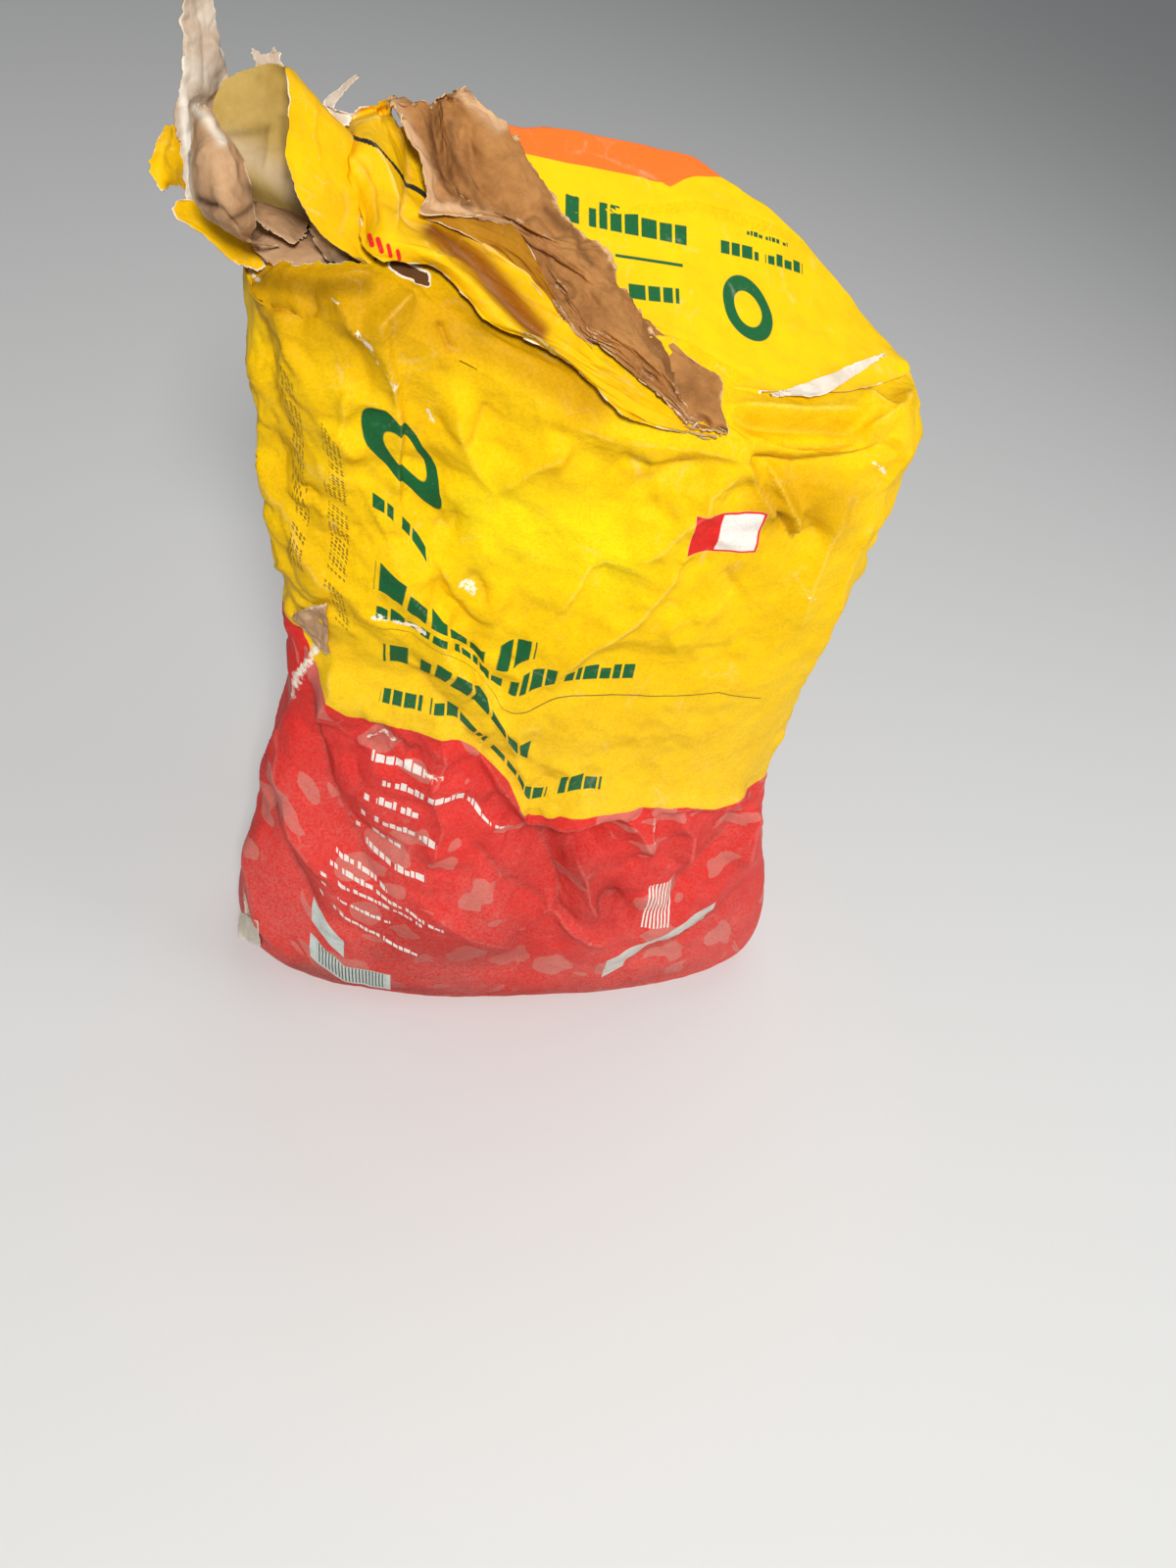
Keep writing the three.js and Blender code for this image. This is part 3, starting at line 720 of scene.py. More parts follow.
def box_effect():
    """Mask of an upright box on the printed sheet, with its upper edge leaning by a slope."""
    given = {"Sheet": ORIGIN, "Left": 0.0, "Right": 0.1, "Low": 0.0, "High": 0.1, "Lean": 0.0}
    group, given, made = effect("printed_box", {**given, "Blur": PRINT_BLUR}, "Mask")
    spot = node(group, "SeparateXYZ", {0: given["Sheet"]}).outputs
    over = calc(group, "SUBTRACT", spot["X"], given["Left"])
    up = calc(group, "SUBTRACT", spot["Y"], times(group, over, given["Lean"]))
    gaps = (
        over,
        calc(group, "SUBTRACT", given["Right"], spot["X"]),
        calc(group, "SUBTRACT", up, given["Low"]),
        calc(group, "SUBTRACT", given["High"], up),
    )
    least = gaps[0]
    for gap in gaps[1:]:
        least = calc(group, "MINIMUM", least, gap)
    mask = calc(group, "DIVIDE", least, given["Blur"], clamp=True)
    group.links.new(mask, made["Mask"])
    return group


def words_effect(box):
    """Mask of a line of bare word bars: runs of short upright blocks with uneven gaps, inside a box."""
    given = {"Sheet": ORIGIN, "Left": 0.0, "Right": 0.1, "Low": 0.0, "High": 0.01, "Lean": 0.0}
    group, given, made = effect("printed_words", {**given, "Letter": 0.006}, "Mask")
    names = ("Sheet", "Left", "Right", "Low", "High", "Lean")
    frame_mask = use(group, box, {name: given[name] for name in names})["Mask"]
    spot = node(group, "SeparateXYZ", {0: given["Sheet"]}).outputs
    place = calc(group, "DIVIDE", spot["X"], given["Letter"])
    place = calc(group, "ADD", place, times(group, given["Low"], 977.0))
    gaps = {"voronoi_dimensions": "1D", "feature": "DISTANCE_TO_EDGE"}
    blocks = node(group, "TexVoronoi", {"W": place, "Scale": 1.0}, **gaps)
    words = node(group, "TexVoronoi", {"W": place, "Scale": 0.19}, **gaps)
    cells = node(group, "TexVoronoi", {"W": place, "Scale": 1.0}, voronoi_dimensions="1D").outputs["Color"]
    pick = node(group, "SeparateXYZ", {0: cells}).outputs["X"]
    tall = times(group, calc(group, "SUBTRACT", given["High"], given["Low"]), 0.26)
    short = calc(group, "SUBTRACT", given["High"], times(group, ramp(group, pick, 0.4, 0.5), tall))
    lean = times(group, calc(group, "SUBTRACT", spot["X"], given["Left"]), given["Lean"])
    below = calc(group, "SUBTRACT", short, calc(group, "SUBTRACT", spot["Y"], lean))
    block = ramp(group, blocks.outputs["Distance"], 0.07, 0.12)
    block = times(group, block, calc(group, "DIVIDE", below, PRINT_BLUR, clamp=True))
    word = ramp(group, words.outputs["Distance"], 0.05, 0.07)
    mask = times(group, frame_mask, times(group, block, word))
    group.links.new(mask, made["Mask"])
    return group


def ring_effect():
    """Mask of a plain ring on the printed sheet: between two distances from its centre."""
    given = {"Sheet": ORIGIN, "Centre": ORIGIN, "Outer": 0.02, "Inner": 0.01, "Blur": 0.0006}
    group, given, made = effect("printed_ring", given, "Mask")
    feeds = {0: given["Sheet"], 1: given["Centre"]}
    away = node(group, "VectorMath", feeds, operation="DISTANCE").outputs["Value"]
    within = ramp(group, away, given["Outer"], calc(group, "SUBTRACT", given["Outer"], given["Blur"]))
    beyond = ramp(group, away, calc(group, "SUBTRACT", given["Inner"], given["Blur"]), given["Inner"])
    group.links.new(times(group, within, beyond), made["Mask"])
    return group


def pebble_effect():
    """Mask of scattered rounded pebbles of uneven size: cells near their middles, bent by noise."""
    group, given, made = effect("pale_pebbles", {"Sheet": ORIGIN, "Spacing": 0.03}, "Mask")
    where = bent(group, given["Sheet"], 55.0, 1.0, 0.022)
    feeds = {"Vector": where, "Rotation": (0, 0, 0.6), "Scale": (1.0, 1.35, 1.0)}
    where = node(group, "Mapping", feeds).outputs[0]
    scale = calc(group, "DIVIDE", 1.0, given["Spacing"])
    cells = node(group, "TexVoronoi", {"Vector": where, "Scale": scale}, voronoi_dimensions="2D").outputs
    size = node(group, "SeparateXYZ", {0: cells["Color"]}).outputs["X"]
    limit = ramp(group, size, 0.2, 1.0, 0.0, 0.44)
    gap = calc(group, "SUBTRACT", limit, cells["Distance"])
    group.links.new(ramp(group, gap, 0.0, 0.018), made["Mask"])
    return group


crumple = crumple_effect()
fibre = fibre_effect()
dust = dust_effect()
torn_fibre = torn_effect()
worn_ink = wear_effect(crumple)
printed_box = box_effect()
printed_words = words_effect(printed_box)
printed_ring = ring_effect()
pebbles = pebble_effect()


def new_material(name):
    """Material with one Principled shader, its node tree and the place on the object."""
    material = bpy.data.materials.new(name)
    material.use_nodes = True
    return material, material.node_tree, node(material.node_tree, "TexCoord").outputs["Object"]


def finish_paper(tree, position, colour, roughness, crease_depth, cell):
    """Joins a colour, the crumple and the fibre grain to the material's own shader."""
    shader = tree.nodes["Principled BSDF"]
    folds = use(tree, crumple, {"Position": position, "Cell": cell})
    grain = use(tree, fibre, {"Position": position})
    tree.links.new(colour, shader.inputs["Base Color"])
    rough = calc(tree, "ADD", times(tree, grain["Cloud"], 0.25), roughness - 0.12)
    tree.links.new(rough, shader.inputs["Roughness"])
    shader.inputs["Specular IOR Level"].default_value = PAPER_GLOSS
    first = node(tree, "Bump", {"Height": folds["Height"], "Distance": crease_depth})
    feeds = {"Height": grain["Height"], "Distance": FIBRE_HEIGHT, "Normal": first.outputs[0]}
    second = node(tree, "Bump", feeds)
    tree.links.new(second.outputs[0], shader.inputs["Normal"])


def add_print(tree, sheet, colour, ink, shapes):
    """Lays one ink over a colour in every listed shape. A shape with six numbers is a line of words,
    and one with five is a plain box: left, right, low, high, lean and letter width, in metres."""
    total = None
    for shape in shapes:
        names = ("Left", "Right", "Low", "High", "Lean", "Letter")[:len(shape)]
        feeds = dict(zip(names, shape))
        feeds["Sheet"] = sheet
        group = printed_words if len(shape) == 6 else printed_box
        mask = use(tree, group, feeds)["Mask"]
        total = mask if total is None else calc(tree, "MAXIMUM", total, mask)
    return mix_colour(tree, total, colour, ink)


def fray(tree, position, colour, fibre):
    """Lays the pale fibre of a tear over a colour along the sheet's torn borders."""
    torn = use(tree, torn_fibre, {"Position": position, "Torn": attribute(tree, "torn")})["Mask"]
    return mix_colour(tree, torn, colour, fibre)


def dusted(tree, position, colour, amount, tint=CEMENT, **feeds):
    """Lays cement dust over a colour."""
    mask = use(tree, dust, {"Position": position, **feeds})["Mask"]
    return mix_colour(tree, times(tree, mask, amount), colour, tint)


# Places of the print on the sheet, in metres from the middle of the front and above the border of the inks.
GREEN_WORDS = [
    (-0.100, -0.026, 0.081, 0.0945, 0.0, 0.0095),
    (-0.101, 0.023, 0.0655, 0.0745, 0.035, 0.0062),
    (-0.096, -0.019, 0.0345, 0.048, 0.0, 0.0095),
    (-0.096, 0.020, 0.0115, 0.0195, 0.0, 0.0062),
    (-0.102, -0.078, 0.119, 0.126, -0.2, 0.0055),
]
WHITE_WORDS = [
    (-0.097, -0.066, -0.0265, -0.0200, -0.06, 0.0045),
    (-0.090, -0.022, -0.0405, -0.0355, -0.06, 0.0036),
    (-0.092, -0.070, -0.0540, -0.0490, -0.12, 0.0036),
    (-0.092, -0.059, -0.0670, -0.0620, -0.16, 0.0036),
    (-0.094, -0.077, -0.0800, -0.0750, -0.22, 0.0036),
    (-0.098, -0.064, -0.0910, -0.0860, -0.32, 0.0036),
    (-0.113, -0.085, -0.0990, -0.0950, -0.60, 0.0034),
    (-0.115, -0.054, -0.1070, -0.1030, -0.52, 0.0034),
    (-0.112, -0.066, -0.1190, -0.1150, -0.42, 0.0034),
    (-0.113, -0.084, -0.1330, -0.1295, -0.40, 0.0034),
    (-0.116, -0.066, -0.1450, -0.1410, -0.50, 0.0034),
]
BULLETS = [
    (-0.0985, -0.0955, -0.0540, -0.0500, -0.12),
    (-0.1000, -0.0970, -0.0670, -0.0630, -0.16),
    (-0.1050, -0.1020, -0.0840, -0.0805, -0.22),
    (-0.1190, -0.1165, -0.1170, -0.1140, -0.42),
    (-0.1210, -0.1185, -0.1290, -0.1260, -0.42),
    (-0.1240, -0.1215, -0.1430, -0.1400, -0.42),
]
FRONT_RING = {"Centre": (-0.0890, 0.1565, 0.0), "Outer": 0.0165, "Inner": 0.0092}
# Dotted columns: low, high, start and end on the sheet turned upright.
CODE_COLUMNS = [(0.1275, 0.1355, 0.060, 0.150), (0.1110, 0.1190, 0.048, 0.146)]
CODE_DOTS = 640.0
THIN_RULE = [(-0.098, 0.097, 0.0600, 0.0608, 0.0)]
WHITE_BOX = [(0.033, 0.067, 0.144, 0.166, 0.0)]
WHITE_BOX_FRAME = [
    (0.033, 0.047, 0.144, 0.166, 0.0),
    (0.033, 0.067, 0.144, 0.1455, 0.0),
    (0.033, 0.067, 0.1645, 0.166, 0.0),
    (0.0655, 0.067, 0.144, 0.166, 0.0),
]
PALE_PANELS = [(-0.131, -0.110, -0.181, -0.163, -0.1), (-0.131, -0.083, -0.212, -0.190, -0.1)]
PANEL_STRIPES = {"Left": -0.127, "Right": -0.086, "Low": -0.210, "High": -0.191, "Lean": -0.1}
RIBBED_PANEL = {"Left": 0.064, "Right": 0.084, "Low": -0.145, "High": -0.106, "Lean": -0.15}
PALE_LABEL = [(0.046, 0.116, -0.196, -0.172, 0.5)]
LABEL_WINDOW = [(0.060, 0.090, -0.190, -0.180, 0.5)]
RED_PRINT = (
    (INK_WHITE, WHITE_WORDS + BULLETS),
    (PANEL_PALE, PALE_PANELS),
    (LABEL_PALE, PALE_LABEL),
    (INK_RED, LABEL_WINDOW),
)
# Ink, place, waves in radians per metre, and the two levels of the wave between which the ink starts.
STRIPED_PANELS = (
    (INK_WHITE, RIBBED_PANEL, 2600.0, -0.2, 0.3),
    (PANEL_GREEN, PANEL_STRIPES, 3200.0, 0.1, 0.4),
)


def yellow_zone(tree, sheet, tone, cloud):
    """Yellow ink, lighter or darker by its tone, which is partly soiling and partly painted light and shade,
    with green words, a ring, dotted columns, a thin rule and a bare box in a red frame."""
    colour = mix_colour(tree, ramp(tree, cloud, 0.3, 0.8), INK_YELLOW, INK_YELLOW_DEEP)
    colour = mix_colour(tree, ramp(tree, tone, 0.0, 1.0), colour, INK_CLEAN_AND_LIT)
    colour = mix_colour(tree, ramp(tree, tone, 0.0, -1.0), colour, INK_SOILED_AND_SHADED)
    colour = mix_colour(tree, ramp(tree, tone, -1.0, -1.8), colour, INK_SHADED)
    colour = add_print(tree, sheet, colour, INK_GREEN, GREEN_WORDS)
    ring = use(tree, printed_ring, {"Sheet": sheet, **FRONT_RING})["Mask"]
    colour = mix_colour(tree, ring, colour, INK_GREEN)
    upright = node(tree, "Mapping", {"Vector": sheet, "Rotation": (0, 0, -math.pi / 2)}).outputs[0]
    code = None
    for low, high, start, end in CODE_COLUMNS:
        box = {"Sheet": upright, "Left": start, "Right": end, "Low": low, "High": high, "Letter": 0.0065}
        line = use(tree, printed_words, box)["Mask"]
        code = line if code is None else calc(tree, "MAXIMUM", code, line)
    cells = {"Vector": sheet, "Scale": CODE_DOTS, "Randomness": 0.25}
    dots = node(tree, "TexVoronoi", cells, voronoi_dimensions="2D").outputs["Distance"]
    dotted = times(tree, code, ramp(tree, dots, 0.42, 0.30))
    colour = mix_colour(tree, times(tree, dotted, 0.7), colour, INK_BLACK)
    for ink, shapes in ((INK_BLACK, THIN_RULE), (INK_WHITE, WHITE_BOX), (INK_RED, WHITE_BOX_FRAME)):
        colour = add_print(tree, sheet, colour, ink, shapes)
    return colour


def red_zone(tree, sheet, tone):
    """Red ink with pale pebbles, white words and their bullets, panels with stripes, and a pale label."""
    across = node(tree, "SeparateXYZ", {0: sheet}).outputs["X"]
    stones = use(tree, pebbles, {"Sheet": sheet, "Spacing": 0.031})["Mask"]
    colour = mix_colour(tree, times(tree, stones, 0.85), INK_RED, INK_PINK)
    # Painted shade with soiling: the red darkens where the tone is negative, near the floor and in creases.
    colour = mix_colour(tree, ramp(tree, tone, 0.0, -1.0), colour, INK_RED_SOILED_AND_SHADED)
    for ink, shapes in RED_PRINT:
        colour = add_print(tree, sheet, colour, ink, shapes)
    for ink, panel, waves, low, high in STRIPED_PANELS:
        stripes = calc(tree, "SINE", times(tree, across, waves))
        within = use(tree, printed_box, {"Sheet": sheet, **panel})["Mask"]
        colour = mix_colour(tree, times(tree, within, ramp(tree, stripes, low, high)), colour, ink)
    return colour


def sack_print():
    """Printed face of the sack: the two ink zones, worn on creases, with grime and painted shade in the
    crease hollows, scuffed, scarred, dusted and frayed.
    """
    material, tree, position = new_material("printed_sack_paper")
    sheet = node(tree, "UVMap", uv_map="print").outputs[0]
    cloud = use(tree, fibre, {"Position": position})["Cloud"]
    # The tone is partly soiling and partly painted light and shade.
    tone = attribute(tree, "tone")
    hollow = attribute(tree, "hollow")
    height = node(tree, "SeparateXYZ", {0: sheet}).outputs["Y"]
    above = ramp(tree, height, -0.0003, 0.0003)
    colour = mix_colour(tree, above, red_zone(tree, sheet, tone), yellow_zone(tree, sheet, tone, cloud))
    ridge = attribute(tree, "ridge")
    wear = {"Position": position, "Ridge": ridge, "Cell": 0.024, "Rubbed": 0.07, "Fine": 0.12}
    colour = mix_colour(tree, use(tree, worn_ink, wear)["Mask"], colour, COATING)
    # Painted shade with grime: darker in the crease hollows, more in the red than in the yellow.
    hollow_grime_and_shade = times(tree, hollow, ramp(tree, above, 0.0, 1.0, 0.5, 0.2))
    colour = mix_colour(tree, hollow_grime_and_shade, colour, HOLLOW_GRIME_AND_SHADE, "MULTIPLY")
    scuffs = ramp(tree, noise(tree, position, scale=38.0, detail=6.0, rough=0.75), 0.72, 0.77)
    colour = mix_colour(tree, times(tree, scuffs, 0.4), colour, COATING)
    speck = ramp(tree, noise(tree, position, scale=820.0, detail=3.0, rough=0.7), 0.38, 0.66, 0.0, 0.22)
    colour = mix_colour(tree, speck, colour, SPECKS, "MULTIPLY")
    frayed = noise(tree, position, scale=210.0, detail=5.0, rough=0.8)
    worn = ramp(tree, calc(tree, "ADD", attribute(tree, "rub"), frayed), 0.98, 1.12)
    colour = mix_colour(tree, worn, colour, COATING)
    flaked = times(tree, noise(tree, position, scale=160.0, detail=4.0, rough=0.7), 0.5)
    scar = calc(tree, "ADD", attribute(tree, "scar"), flaked)
    colour = mix_colour(tree, ramp(tree, scar, 0.62, 0.72), colour, COATING)
    colour = mix_colour(tree, ramp(tree, scar, 0.84, 0.92), colour, BARED_BROWN)
    amount = ramp(tree, above, 0.0, 1.0, 0.22, 0.20)
    colour = dusted(tree, position, colour, amount, Hollow=hollow, Base=0.0)
    colour = fray(tree, position, colour, TORN_FIBRE)
    finish_paper(tree, position, colour, 0.55, 0.0014, 0.026)
    return material


def grid_piece(name, points, uv=None, values=None, wrap=False, normals=None, materials=()):
    """Mesh object of one quad per cell of a grid. uv has one more column than points where the grid wraps,
    and values are named per-point numbers."""
    rows, columns = points.shape[:2]
    index = np.arange(rows * columns).reshape(rows, columns)
    if wrap:
        index = np.concatenate([index, index[:, :1]], axis=1)
    corners = np.stack([index[:-1, :-1], index[:-1, 1:], index[1:, 1:], index[1:, :-1]], -1)
    mesh = bpy.data.meshes.new(name)
    mesh.from_pydata(points.reshape(-1, 3).tolist(), [], corners.reshape(-1, 4).tolist())
    if uv is not None:
        spots = np.stack([uv[:-1, :-1], uv[:-1, 1:], uv[1:, 1:], uv[1:, :-1]], -2)
        layer = mesh.uv_layers.new(name="print")
        layer.data.foreach_set("uv", spots.astype(np.float32).ravel())
    for label, numbers in (values or {}).items():
        data = mesh.attributes.new(label, "FLOAT", "POINT")
        data.data.foreach_set("value", np.broadcast_to(numbers, (rows, columns)).astype(np.float32).ravel())
    mesh.polygons.foreach_set("use_smooth", np.ones(len(mesh.polygons), bool))
    if normals is not None:
        mesh.normals_split_custom_set_from_vertices(normals.reshape(-1, 3).tolist())
    for material in materials:
        mesh.materials.append(material)
    piece = bpy.data.objects.new(name, mesh)
    bpy.context.scene.collection.objects.link(piece)
    return piece


def join(piece, replaced):
    """Makes a piece ride on the only body in place of a CAD node, which it hides."""
    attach(piece, "root")
    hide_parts(replaced)


def build_sack():
    """Wall and folded top end, two pieces of one grid, whose last rows are torn."""
    points, normal, uv, wear, inner = sack_parts()
    wear["torn"] = np.exp(-np.arange(len(points))[::-1, None] / END_FRAY)
    printed = sack_print()
    for name, rows in (("sack_wall", slice(0, WALL_ROWS)), ("sack_end", slice(WALL_ROWS - 1, None))):
        values = {label: numbers[rows] for label, numbers in wear.items()}
        piece = grid_piece(name, points[rows], uv[rows], values, True, normal[rows], [printed])
        join(piece, "outer_ply")
    return points, inner


sack_points, inner_points = build_sack()


# Block bottom
# The tube's lower end is folded flat and pasted shut under a patch of the same red-printed paper, so the sack
# can stand. It is plain and dusty underneath.
BOTTOM_RINGS = 40
RIM_STEP = 3
PASTED_RIDGE = 0.0016
# Colour of the painted shade in the rolled fold's hollow.
HOLLOW_SHADE_COLOUR = (0.22, 0.045, 0.002, 1.0)


def plain_print(name, ink, deep, inks=False, wear=0.3, base_dust=0.05):
    """Printed paper of one ink, worn on its folds and torn white on its borders. With inks, the vertex value
    shade darkens it with painted shade, and line and stamp lay a dark rule and short red bars over it."""
    material, tree, position = new_material(name)
    cloud = use(tree, fibre, {"Position": position})["Cloud"]
    colour = mix_colour(tree, ramp(tree, cloud, 0.3, 0.8), ink, deep)
    if inks:
        shade = ramp(tree, attribute(tree, "shade"), 0.0, 1.0, 0.0, 0.92)
        colour = mix_colour(tree, shade, colour, HOLLOW_SHADE_COLOUR)
        for label, tint in (("line", INK_BLACK), ("stamp", INK_RED)):
            colour = mix_colour(tree, ramp(tree, attribute(tree, label), 0.4, 0.7), colour, tint)
    ridge = attribute(tree, "ridge")
    rubbed = {"Position": position, "Ridge": ridge, "Cell": 0.02, "Rubbed": 0.14, "Fine": wear}
    colour = mix_colour(tree, use(tree, worn_ink, rubbed)["Mask"], colour, COATING)
    colour = dusted(tree, position, colour, 0.6, Hollow=attribute(tree, "hollow"), Base=base_dust)
    colour = fray(tree, position, colour, TORN_FIBRE)
    finish_paper(tree, position, colour, 0.52, 0.0008, 0.02)
    return material


def build_bottom():
    """Rings from the wall's lowest row to its middle, raised a little where the pasted folds lie."""
    rim = sack_points[0, ::RIM_STEP]
    middle = rim.mean(axis=0)
    k = np.linspace(0, 1, BOTTOM_RINGS)[::-1, None, None]
    points = middle + (rim[None] - middle) * k
    points[0] = rim
    fold = PASTED_RIDGE * step(np.abs(points[..., 1] - middle[1]), 0.020, 0.022)
    points[..., 2] = np.where(k[..., 0] < 1, fold * step(1 - k[..., 0], 0, 0.1), points[..., 2])
    uv = np.concatenate([points, points[:, :1]], axis=1)[..., :2]
    red_paper = plain_print("printed_bottom", INK_RED, INK_RED, base_dust=0.3)
    piece = grid_piece("sack_bottom", points[::-1], uv[::-1], {"torn": 0.0}, wrap=True, materials=[red_paper])
    join(piece, "outer_ply")


build_bottom()


# Kraft liner
# The inner ply of unprinted, unbleached brown kraft lines the sack. It was folded and pasted with the outer
# sheet, and shows at the torn mouth and inside it.
KRAFT_LIGHT = rgb("C9A47C")
KRAFT_DARK = rgb("9A6F49")
KRAFT_DUST = rgb("B9B2A6")
LINER_GAP = 0.0009
LINER_LOWEST = 0.002
LINER_FRAY = 1.6
# The ply leaves the folded sheet between these rows from the mouth and reaches past it by parts of a row. It
# keeps every row near the mouth, and elsewhere one in so many.
LEAVES_FROM = 3
LEFT_FULLY = 34
LINER_REACH = 1.6
CLOSE_ROWS = 40
ROW_STEP = 4
COLUMN_STEP = 3


def kraft_material(name, light, dark, cell=0.022, depth=0.0012, edge=rgb("D6BC98"), pale_and_lit_colour=None):
    """Brown pulp clouded between two tones, with painted shade along creases and pale along the torn border.
    With a pale colour, the vertex value pale lightens some places to it, as torn fibre and as painted light,
    and the vertex value shade darkens some valleys as painted shade."""
    material, tree, position = new_material(name)
    grain = use(tree, fibre, {"Position": position})
    folds = use(tree, crumple, {"Position": position, "Cell": cell})
    stretched = node(tree, "Mapping", {"Vector": position, "Scale": (1.0, 1.0, 0.12)}).outputs[0]
    streaks = noise(tree, stretched, scale=240.0, detail=4.0, rough=0.7)
    tone = calc(tree, "ADD", times(tree, grain["Cloud"], 0.9), times(tree, streaks, 0.35))
    colour = mix_colour(tree, ramp(tree, tone, 0.35, 0.95), light, dark)
    if pale_and_lit_colour is not None:
        pale = times(tree, attribute(tree, "pale"), 0.85)
        colour = mix_colour(tree, pale, colour, pale_and_lit_colour)
        shade = times(tree, attribute(tree, "shade"), 0.6)
        colour = mix_colour(tree, shade, colour, tuple(0.45 * c for c in dark[:3]) + (1.0,))
    # Painted shade: darker along the crumple's creases.
    wear = times(tree, folds["Crease"], 0.10)
    colour = mix_colour(tree, wear, colour, tuple(0.6 * c for c in dark[:3]) + (1.0,))
    colour = fray(tree, position, colour, edge)
    colour = dusted(tree, position, colour, 0.4, KRAFT_DUST, Base=0.03)
    finish_paper(tree, position, colour, 0.82, depth, cell)
    return material


kraft_back = kraft_material("kraft_back", KRAFT_LIGHT, KRAFT_DARK)


def build_liner():
    """Inner ply: just inside the sack's own grid at the mouth, and from there down the unfolded sheet
    further in, thinned to fewer points away from the mouth."""
    normal = normals_of(sack_points, wrap=True)
    last = len(sack_points) - 1
    rows = np.arange(last + 1)
    away = step(last - rows, LEAVES_FROM, LEFT_FULLY)[:, None, None]
    points = (sack_points - normal * LINER_GAP) * (1 - away) + inner_points * away
    points[-1] += (sack_points[-1] - sack_points[-2]) * LINER_REACH
    points[:, :, 2] = np.maximum(points[:, :, 2], LINER_LOWEST)
    near = last - CLOSE_ROWS
    chosen = np.concatenate([np.arange(0, near, ROW_STEP), np.arange(near, last + 1)])
    points = points[chosen][:, ::COLUMN_STEP]
    torn = np.exp(-np.arange(len(chosen))[::-1, None] / LINER_FRAY)
    piece = grid_piece("kraft_liner", points, None, {"torn": torn}, wrap=True, materials=[kraft_back])
    join(piece, "kraft_ply")


build_liner()


# Pasted end patch
# A second sheet, printed in yellow with an orange band along its rear edge, is glued over the folded top end
# to close it.
PATCH_EDGE = [
    (-97, 66), (-60, 70.5), (-20, 71), (20, 69.5), (58, 64), (84, 52), (91, 38), (89, 27), (76, 18), (60, 9),
    (40, 2), (14, -6), (1, -13), (-9, -17), (-34, -12), (-58, 6), (-80, 34),
]
PATCH_ROWS = 90
PATCH_COLUMNS = 240
PATCH_LIFT = 0.0007
PATCH_MIDDLE = np.array([0.0, 0.03])
PATCH_THICKNESS = 0.0005
PATCH_FRAY = 2.5
BAND_ORANGE = (0.90, 0.16, 0.02, 1.0)
BAND_START = 0.0560
BAND_TURN = 0.030
BAND_SLOPE = 0.45
# Places of the patch's print, in metres of the plan.
PATCH_WORDS = [
    (-0.073, -0.022, 0.0365, 0.0460, 0.03, 0.0062),
    (-0.048, -0.026, 0.0130, 0.0215, 0.15, 0.0062),
    (-0.008, 0.036, 0.0410, 0.0460, 0.24, 0.0052),
    (0.006, 0.028, 0.0530, 0.0552, 0.24, 0.0024),
]
PATCH_RULE = [(-0.053, -0.024, 0.0278, 0.0294, 0.1)]
PATCH_RING = {"Centre": (0.006, 0.026, 0.0), "Outer": 0.0125, "Inner": 0.0070}


def patch_material():
    """End patch print: yellow with green word bars, a rule and a ring. The orange band starts at a depth that
    grows to the right past its turn."""
    material, tree, position = new_material("printed_end_patch")
    sheet = node(tree, "UVMap", uv_map="print").outputs[0]
    spot = node(tree, "SeparateXYZ", {0: sheet}).outputs
    cloud = use(tree, fibre, {"Position": position})["Cloud"]
    colour = mix_colour(tree, ramp(tree, cloud, 0.3, 0.8), INK_YELLOW, INK_YELLOW_DEEP)
    run = calc(tree, "MAXIMUM", calc(tree, "ADD", spot["X"], BAND_TURN), 0.0)
    band = calc(tree, "SUBTRACT", spot["Y"], times(tree, run, BAND_SLOPE))
    colour = mix_colour(tree, ramp(tree, band, BAND_START, BAND_START + PRINT_BLUR), colour, BAND_ORANGE)
    colour = add_print(tree, sheet, colour, INK_GREEN, PATCH_WORDS)
    colour = add_print(tree, sheet, colour, INK_GREEN, PATCH_RULE)
    ring = use(tree, printed_ring, {"Sheet": sheet, **PATCH_RING})["Mask"]
    colour = mix_colour(tree, ring, colour, INK_GREEN)
    wear = use(tree, worn_ink, {"Position": position, "Cell": 0.03, "Rubbed": 0.0, "Fine": 0.18})["Mask"]
    colour = mix_colour(tree, wear, colour, COATING)
    colour = dusted(tree, position, colour, 0.3, Base=0.02)
    colour = fray(tree, position, colour, TORN_FIBRE)
    finish_paper(tree, position, colour, 0.5, 0.0007, 0.03)
    return material


def through(values, at):
    """Catmull-Rom curve through values along their first axis, at places counted in values."""
    values = np.asarray(values, float)
    last = len(values) - 1
    i = np.clip(np.floor(at).astype(int), 0, last - 1)
    t = (at - i).reshape((-1,) + (1,) * (values.ndim - 1))
    before = values[np.maximum(i - 1, 0)]
    first = values[i]
    second = values[i + 1]
    after = values[np.minimum(i + 2, last)]
    a = 2 * first
    b = second - before
    c = 2 * before - 5 * first + 4 * second - after
    d = 3 * (first - second) + after - before
    return 0.5 * (a + b * t + c * t**2 + d * t**3)


